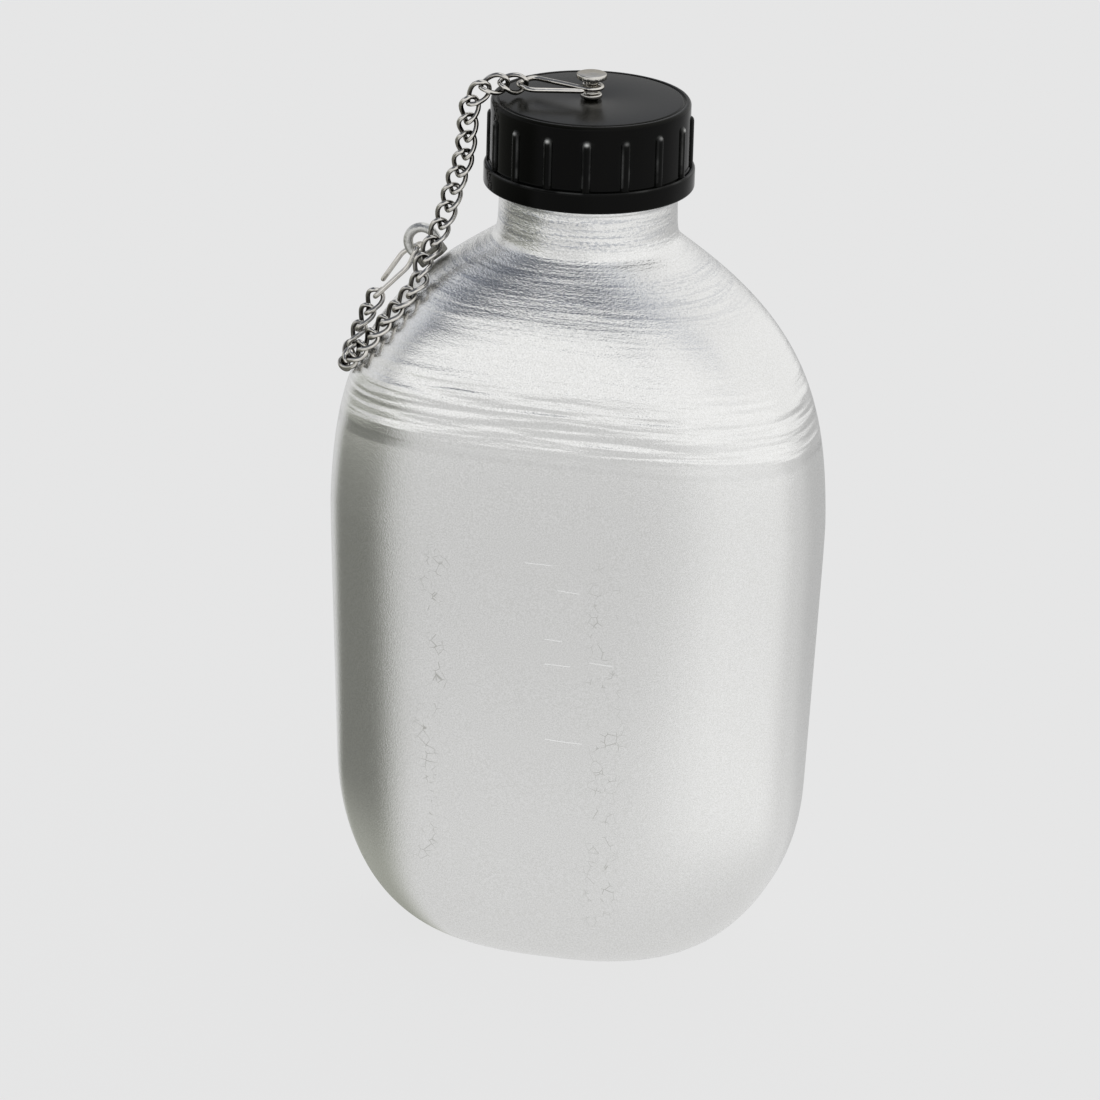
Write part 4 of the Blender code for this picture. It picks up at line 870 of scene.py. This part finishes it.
# Skin point and outward normal at one turn and height, by small steps each way.
def skinFrame(turn, height):
    turn, height = turn[:, None], height[:, None]
    point = skinPoints(turn, height)[:, 0]
    aroundStep = (skinPoints(turn + 1e-4, height) - skinPoints(turn - 1e-4, height))[:, 0]
    upStep = (skinPoints(turn, height + 0.01) - skinPoints(turn, height - 0.01))[:, 0]
    return point, unit(np.cross(aroundStep, upStep))


# A part of the route, scaled along each axis to run from start to end.
def stretched(route, start, end):
    places = start + route[:, :3] * (end - start) / route[-1, :3]
    return np.hstack([places, route[:, 3:]])


# The route as a smooth curve through its points: between two points it is the cubic whose ends
# run along the line between their neighbours. Facing directions are carried with it. Slack, in mm,
# moves the loop down, most in its middle.
def chainCurve(slack):
    hook = hookPlace * mm
    turn = radians(chain["besideTurn"])
    reach = cap["flangeRadius"] + chain["besideCap"]
    beside = np.array([reach * np.cos(turn), reach * np.sin(turn), chain["besideHeight"]]) * mm
    sag = slack * np.sin(pi * np.arange(len(loopOnShoulder)) / (len(loopOnShoulder) - 1))
    point, normal = skinFrame(np.radians(loopOnShoulder[:, 0]), eyePoint[2] / mm - loopOnShoulder[:, 1] - sag)
    halfWide = 0.5 * (chain["width"] - chain["wire"])
    lie = 0.5 * chain["wire"] + halfWide * np.sin(radians(0.5 * chain["twist"])) + chain["lift"]
    loop = np.hstack([point + normal * ((lie + loopOnShoulder[:, 2]) * mm)[:, None], loopOnShoulder[:, 3:]])
    near, far = shoulderClipCorners[-2:] * mm
    startRow = np.concatenate([hook, chain["firstFacing"]])[None]
    endRow = np.concatenate([near + (far - near) * chain["endOnClip"], chain["lastFacing"]])[None]
    knots = np.vstack([startRow, stretched(overCapEdge, hook, beside),
                       stretched(downToShoulder, beside, loop[0, :3])[:-1], loop, endRow])
    around = np.vstack([2 * knots[:1] - knots[1:2], knots, 2 * knots[-1:] - knots[-2:-1]])
    t = np.linspace(0, 1, 24, endpoint=False)[None, :, None]
    p0, p1, p2, p3 = (around[k:len(around) - 3 + k][:, None] for k in range(4))
    samples = 0.5 * (2 * p1 + (p2 - p0) * t + (2 * p0 - 5 * p1 + 4 * p2 - p3) * t ** 2
                     + (3 * p1 - p0 - 3 * p2 + p3) * t ** 3)
    return np.vstack([samples.reshape(-1, 6), knots[-1:]])


# Length of a curve up to each of its points.
def curveLength(curve):
    return np.concatenate([[0], np.cumsum(np.linalg.norm(np.diff(curve[:, :3], axis=0), axis=1))])


# The body that carries a link.
def linkBody(node):
    return next(body for body, nodes in frame["record"]["behaviour"]["bodies"].items() if node in nodes)


# The slack is halved in on until the curve has the length that all the links need. A link is a
# superellipse, whose two ends are turned against each other about its length.
def makeChain():
    reach = (0.5 * chain["length"] - chain["wire"] - 0.5 * clip["wire"] - 1.3 * chain["lift"]) * mm
    steps = chain["count"] - 1
    wanted = steps * (chain["length"] - 2 * chain["wire"] - chain["play"]) * mm + 2 * reach
    low, high = chain["slackLimits"]
    for _ in range(24):
        slack = 0.5 * (low + high)
        tooShort = curveLength(chainCurve(slack))[-1] < wanted
        low, high = (slack, high) if tooShort else (low, slack)
    curve = chainCurve(slack)
    length = curveLength(curve)
    run = length[-1] - 2 * reach
    at = reach + np.arange(steps + 1) * run / steps

    def read(where, columns):
        return np.stack([np.interp(where, length, curve[:, k]) for k in columns], axis=1)

    middle = read(at, range(3))
    along = unit(read(at + 0.5 * run / steps, range(3)) - read(at - 0.5 * run / steps, range(3)))
    facing = read(at, range(3, 6))
    normal = unit(facing - along * np.sum(facing * along, axis=1, keepdims=True))
    width = np.cross(normal, along)
    spoke = np.linspace(0, 2 * pi, 64, endpoint=False)
    c, s = np.cos(spoke), np.sin(spoke)
    u = 0.5 * (chain["length"] - chain["wire"]) * np.sign(c) * np.abs(c) ** chain["squareness"] * mm
    v = 0.5 * (chain["width"] - chain["wire"]) * np.sign(s) * np.abs(s) ** chain["squareness"] * mm
    twist = radians(chain["twist"]) * u / np.abs(u).max()
    for k in range(steps + 1):
        turned = width[k] * np.cos(twist)[:, None] + normal[k] * np.sin(twist)[:, None]
        square = normal[k] * np.cos(twist)[:, None] - width[k] * np.sin(twist)[:, None]
        path = middle[k] + along[k] * u[:, None] + turned * v[:, None]
        thing = barAlong(f"chainLink{k + 1:02d}", path, 0.5 * chain["wire"] * mm, square, spokes=14, closed=True,
                         shadeInside=True)
        wear(thing, chainNickel)
        node = f"chain_link_{k + 1:02d}"
        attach(thing, linkBody(node))
        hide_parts(node)


makeChain()
print("chain made")


# In both dictionaries a level is a brightness, where 1 is white, and an azimuth is a compass
# direction in degrees, where 0 is -Y and 90 is +X. A width says how squarely a direction must point
# there for a patch of light to begin and to be full: 1 is straight at it, and 0 square to it.
# Reaches are metres from the object's middle.
paper = {
    "colour": "#e6e6e6", "shade": "#e6e8dc", "roughness": 0.9, "halfWidth": 4.0,
    "glow": 0.92, "level": 0.94, "seenLevel": 1.026,
    "right": {"azimuth": 55, "width": (0.55, 0.95), "reach": (0.06, 0.16), "more": 0.28},
    "behind": {"azimuth": 165, "width": (0.70, 0.95), "level": 0.72},
    "near": {"reach": (0.12, 0.26), "times": 1.12},
    "far": {"reach": (1.45, 2.0), "level": 1.29},
    "left": {"azimuth": -82, "width": (0.76, 0.915), "reach": (0.05, 0.14), "less": -0.07,
             "level": (0.52, 0.24), "fall": (0.06, 0.15), "farMore": 0.36, "farReach": (0.35, 1.2)},
}

# Tops and feet are the Z of the direction, 0 level and 1 straight up.
room = {
    "wall": {"azimuth": 104, "width": (-0.26, -0.12), "top": (0.62, 0.76), "level": 0.98},
    "backWall": {"azimuth": 192, "width": (0.90, 0.98), "top": (0.45, 0.56), "level": 0.70},
    "strip": {"azimuth": 24, "width": (-0.03, 0.12), "top": (0.31, 0.37), "level": 1.07},
    "leftWall": {"azimuth": -104, "width": (0.74, 0.92), "top": (0.52, 0.66), "level": 0.78},
    "taller": {"azimuth": 130, "width": (0.3, 0.7), "by": 0.09},
    "horizon": {"top": (0.05, 0.22), "level": 0.72, "dimLevel": 0.20},
    "ceiling": {"azimuth": 110, "width": (-0.3, 0.45), "foot": (0.66, 0.80), "level": 0.90, "cornerLevel": 0.20},
    "zenith": {"foot": (0.93, 0.985), "level": 0.50},
    "softbox": {"way": (-0.083, 0.332, 0.940), "width": (0.94, 0.96), "level": 1.35},
    "daylight": {"colour": "#e9f0ff", "below": (0.5, 0.95), "foot": (0.25, 0.40)},
}


# How squarely a direction or place lies toward an azimuth: its X times the azimuth's sine less its
# Y times the cosine, over its length.
def toward(tree, x, y, length, azimuth):
    along = weightedSum(tree, (x, float(np.sin(radians(azimuth)))), (y, float(-np.cos(radians(azimuth)))))
    return addNode(tree, "Math", [along, length], operation="DIVIDE")


# Layers over a level, each with its share and the level that it brings.
def layered(tree, level, *layers):
    for share, upper in layers:
        level = addNode(tree, "Mix", {0: share, 2: level, 3: upper})
    return level


# The floor as the camera sees it is one flat grey. What shines in the metal is the same paper, lit
# from the right: palest far off and at the front right, dim at the left and a little dim behind.
def floorMaterial():
    material, tree = newMaterial("pale studio floor")
    place = addNode(tree, "TexCoord").outputs["Object"]
    x, y = addNode(tree, "SeparateXYZ", [place]).outputs[:2]
    away = addNode(tree, "VectorMath", [place], operation="LENGTH")
    right, behind, near, far, left = (paper[key] for key in ("right", "behind", "near", "far", "left"))

    atRight = addNode(tree, "Math", [
        addNode(tree, "MapRange", [toward(tree, x, y, away, right["azimuth"]), *right["width"], 0.0, right["more"]],
                **smoothly),
        addNode(tree, "MapRange", [away, *right["reach"], 0.0, 1.0], **smoothly)], operation="MULTIPLY")
    lit = weightedSum(tree, (atRight, 1), (paper["level"], 1))
    atBack = addNode(tree, "MapRange", [toward(tree, x, y, away, behind["azimuth"]), *behind["width"], 0.0, 1.0],
                     **smoothly)
    lit = layered(tree, lit, (atBack, behind["level"]))
    lit = addNode(tree, "Math", [
        lit, addNode(tree, "MapRange", [away, *near["reach"], near["times"], 1.0], **smoothly)], operation="MULTIPLY")
    farOff = addNode(tree, "MapRange", [away, *far["reach"], 0.0, 1.0], **smoothly)
    dim = weightedSum(tree, (addNode(tree, "MapRange", [away, *left["fall"], *left["level"]], **smoothly), 1),
                      (addNode(tree, "MapRange", [away, *left["farReach"], 0.0, left["farMore"]], **smoothly), 1))
    atLeft = weightedSum(tree, (toward(tree, x, y, away, left["azimuth"]), 1),
                         (addNode(tree, "MapRange", [away, *left["reach"], left["less"], 0.0], **smoothly), 1))
    atLeft = addNode(tree, "MapRange", [atLeft, *left["width"], 0.0, 1.0], **smoothly)
    lit = layered(tree, lit, (farOff, far["level"]), (atLeft, dim))

    rays = addNode(tree, "LightPath").outputs
    strength = layered(tree, lit, (rays["Is Camera Ray"], paper["seenLevel"]))
    shining = addNode(tree, "Math", [rays["Is Glossy Ray"], rays["Is Transmission Ray"]], operation="MAXIMUM")
    seen = addNode(tree, "Math", [rays["Is Camera Ray"], shining], operation="MAXIMUM")
    unseen = addNode(tree, "Math", [1.0, rays["Is Camera Ray"]], operation="SUBTRACT")
    shaded = addNode(tree, "Math", [atLeft, unseen], operation="MULTIPLY")
    colour = addNode(tree, "Mix", {0: shaded, 6: hexColour(paper["colour"]), 7: hexColour(paper["shade"])}, **inColour)
    glow = addNode(tree, "Emission", {"Color": colour, "Strength": strength})
    matt = addNode(tree, "BsdfPrincipled", {"Base Color": hexColour(paper["colour"]), "Roughness": paper["roughness"],
                                            "Specular IOR Level": 0.0})
    share = addNode(tree, "Math", [seen, paper["glow"]], operation="MULTIPLY")
    addNode(tree, "OutputMaterial", {"Surface": addNode(tree, "MixShader", [share, matt, glow])})
    return material


def makeFloor():
    half = paper["halfWidth"]
    mesh = bpy.data.meshes.new("studioFloor")
    mesh.from_pydata([(-half, -half, 0), (half, -half, 0), (half, half, 0), (-half, half, 0)], [], [(0, 1, 2, 3)])
    thing = bpy.data.objects.new("studioFloor", mesh)
    bpy.context.collection.objects.link(thing)
    wear(thing, floorMaterial())


# The room: a broad pale wall of cloth from the front round the right past the back, a lower pale
# strip at the front left, a pale patch of wall at the left and a pale ceiling over the wall.
def makeWorld():
    world = bpy.context.scene.world or bpy.data.worlds.new("studio")
    bpy.context.scene.world = world
    world.use_nodes = True
    tree = world.node_tree
    tree.nodes.clear()
    way = addNode(tree, "TexCoord").outputs["Generated"]
    x, y, z = addNode(tree, "SeparateXYZ", [way]).outputs
    length = addNode(tree, "Math", [weightedSum(tree, (x, x), (y, y))], operation="SQRT")

    def across(name, low, high):
        return addNode(tree, "MapRange", [toward(tree, x, y, length, room[name]["azimuth"]), *room[name]["width"],
                                          low, high], **smoothly)

    def patch(name, height):
        below = addNode(tree, "MapRange", [height, *room[name]["top"], 1.0, 0.0], **smoothly)
        return addNode(tree, "Math", [across(name, 0.0, 1.0), below], operation="MULTIPLY")

    def above(name):
        return addNode(tree, "MapRange", [z, *room[name]["foot"], 0.0, 1.0], **smoothly)

    horizon, ceiling, softbox, daylight = (room[key] for key in ("horizon", "ceiling", "softbox", "daylight"))
    byHorizon = addNode(tree, "MapRange", [z, *horizon["top"], 1.0, 0.0], **smoothly)
    low = layered(tree, horizon["dimLevel"], (byHorizon, horizon["level"]),
                  (patch("leftWall", z), room["leftWall"]["level"]))
    high = layered(tree, ceiling["cornerLevel"], (across("ceiling", 0.0, 1.0), ceiling["level"]),
                   (above("zenith"), room["zenith"]["level"]))
    wallLevel = layered(tree, room["wall"]["level"], (patch("backWall", z), room["backWall"]["level"]))
    # the wall stands taller behind the right side
    lowered = addNode(tree, "Math", [z, across("taller", 0.0, room["taller"]["by"])], operation="SUBTRACT")
    # a softbox over the back lights the upper side of each wire
    facing = addNode(tree, "VectorMath", [way, softbox["way"]], operation="DOT_PRODUCT")
    inBox = addNode(tree, "MapRange", [facing, *softbox["width"], 0.0, 1.0], **smoothly)
    strength = layered(tree, low, (above("ceiling"), high), (patch("wall", lowered), wallLevel),
                       (patch("strip", z), room["strip"]["level"]), (inBox, softbox["level"]))
    # the dim upper parts are a little blue, as daylight through a window is
    bright = addNode(tree, "MapRange", [strength, *daylight["below"], 0.0, 1.0], **smoothly)
    lowDown = addNode(tree, "MapRange", [z, *daylight["foot"], 1.0, 0.0], **smoothly)
    plain = addNode(tree, "Math", [bright, lowDown], operation="MAXIMUM")
    tint = addNode(tree, "Mix", {0: plain, 6: hexColour(daylight["colour"]), 7: (1, 1, 1, 1)}, **inColour)
    background = addNode(tree, "Background", {"Color": tint, "Strength": strength})
    addNode(tree, "OutputWorld", {"Surface": background})


# The photograph's view: sensor and lens in mm, the frame's shift as shares of its width, the
# camera's place and the point it looks at in metres, and its roll in degrees.
photoView = {"sensor": 36.0, "lens": 243.64, "shiftX": -28.546 / 1100, "shiftY": -5.642 / 1100, "clipEnd": 50,
             "place": (0.39981, -1.60354, 0.70835), "aim": (0, 0, 0.09788), "roll": 1.623}


def makeCamera():
    lens = bpy.data.cameras.new("photoCamera")
    lens.sensor_width, lens.lens = photoView["sensor"], photoView["lens"]
    lens.shift_x, lens.shift_y = photoView["shiftX"], photoView["shiftY"]
    lens.clip_end = photoView["clipEnd"]
    camera = bpy.data.objects.new("photoCamera", lens)
    bpy.context.collection.objects.link(camera)
    place, aim = Vector(photoView["place"]), Vector(photoView["aim"])
    look = (aim - place).to_track_quat("-Z", "Y").to_matrix().to_4x4()
    camera.matrix_world = Matrix.Translation(place) @ look @ Matrix.Rotation(radians(photoView["roll"]), 4, "Z")
    bpy.context.scene.camera = camera


makeFloor()
makeWorld()
makeCamera()
bpy.context.scene.view_settings.view_transform = "Standard"
print("studio and camera made")
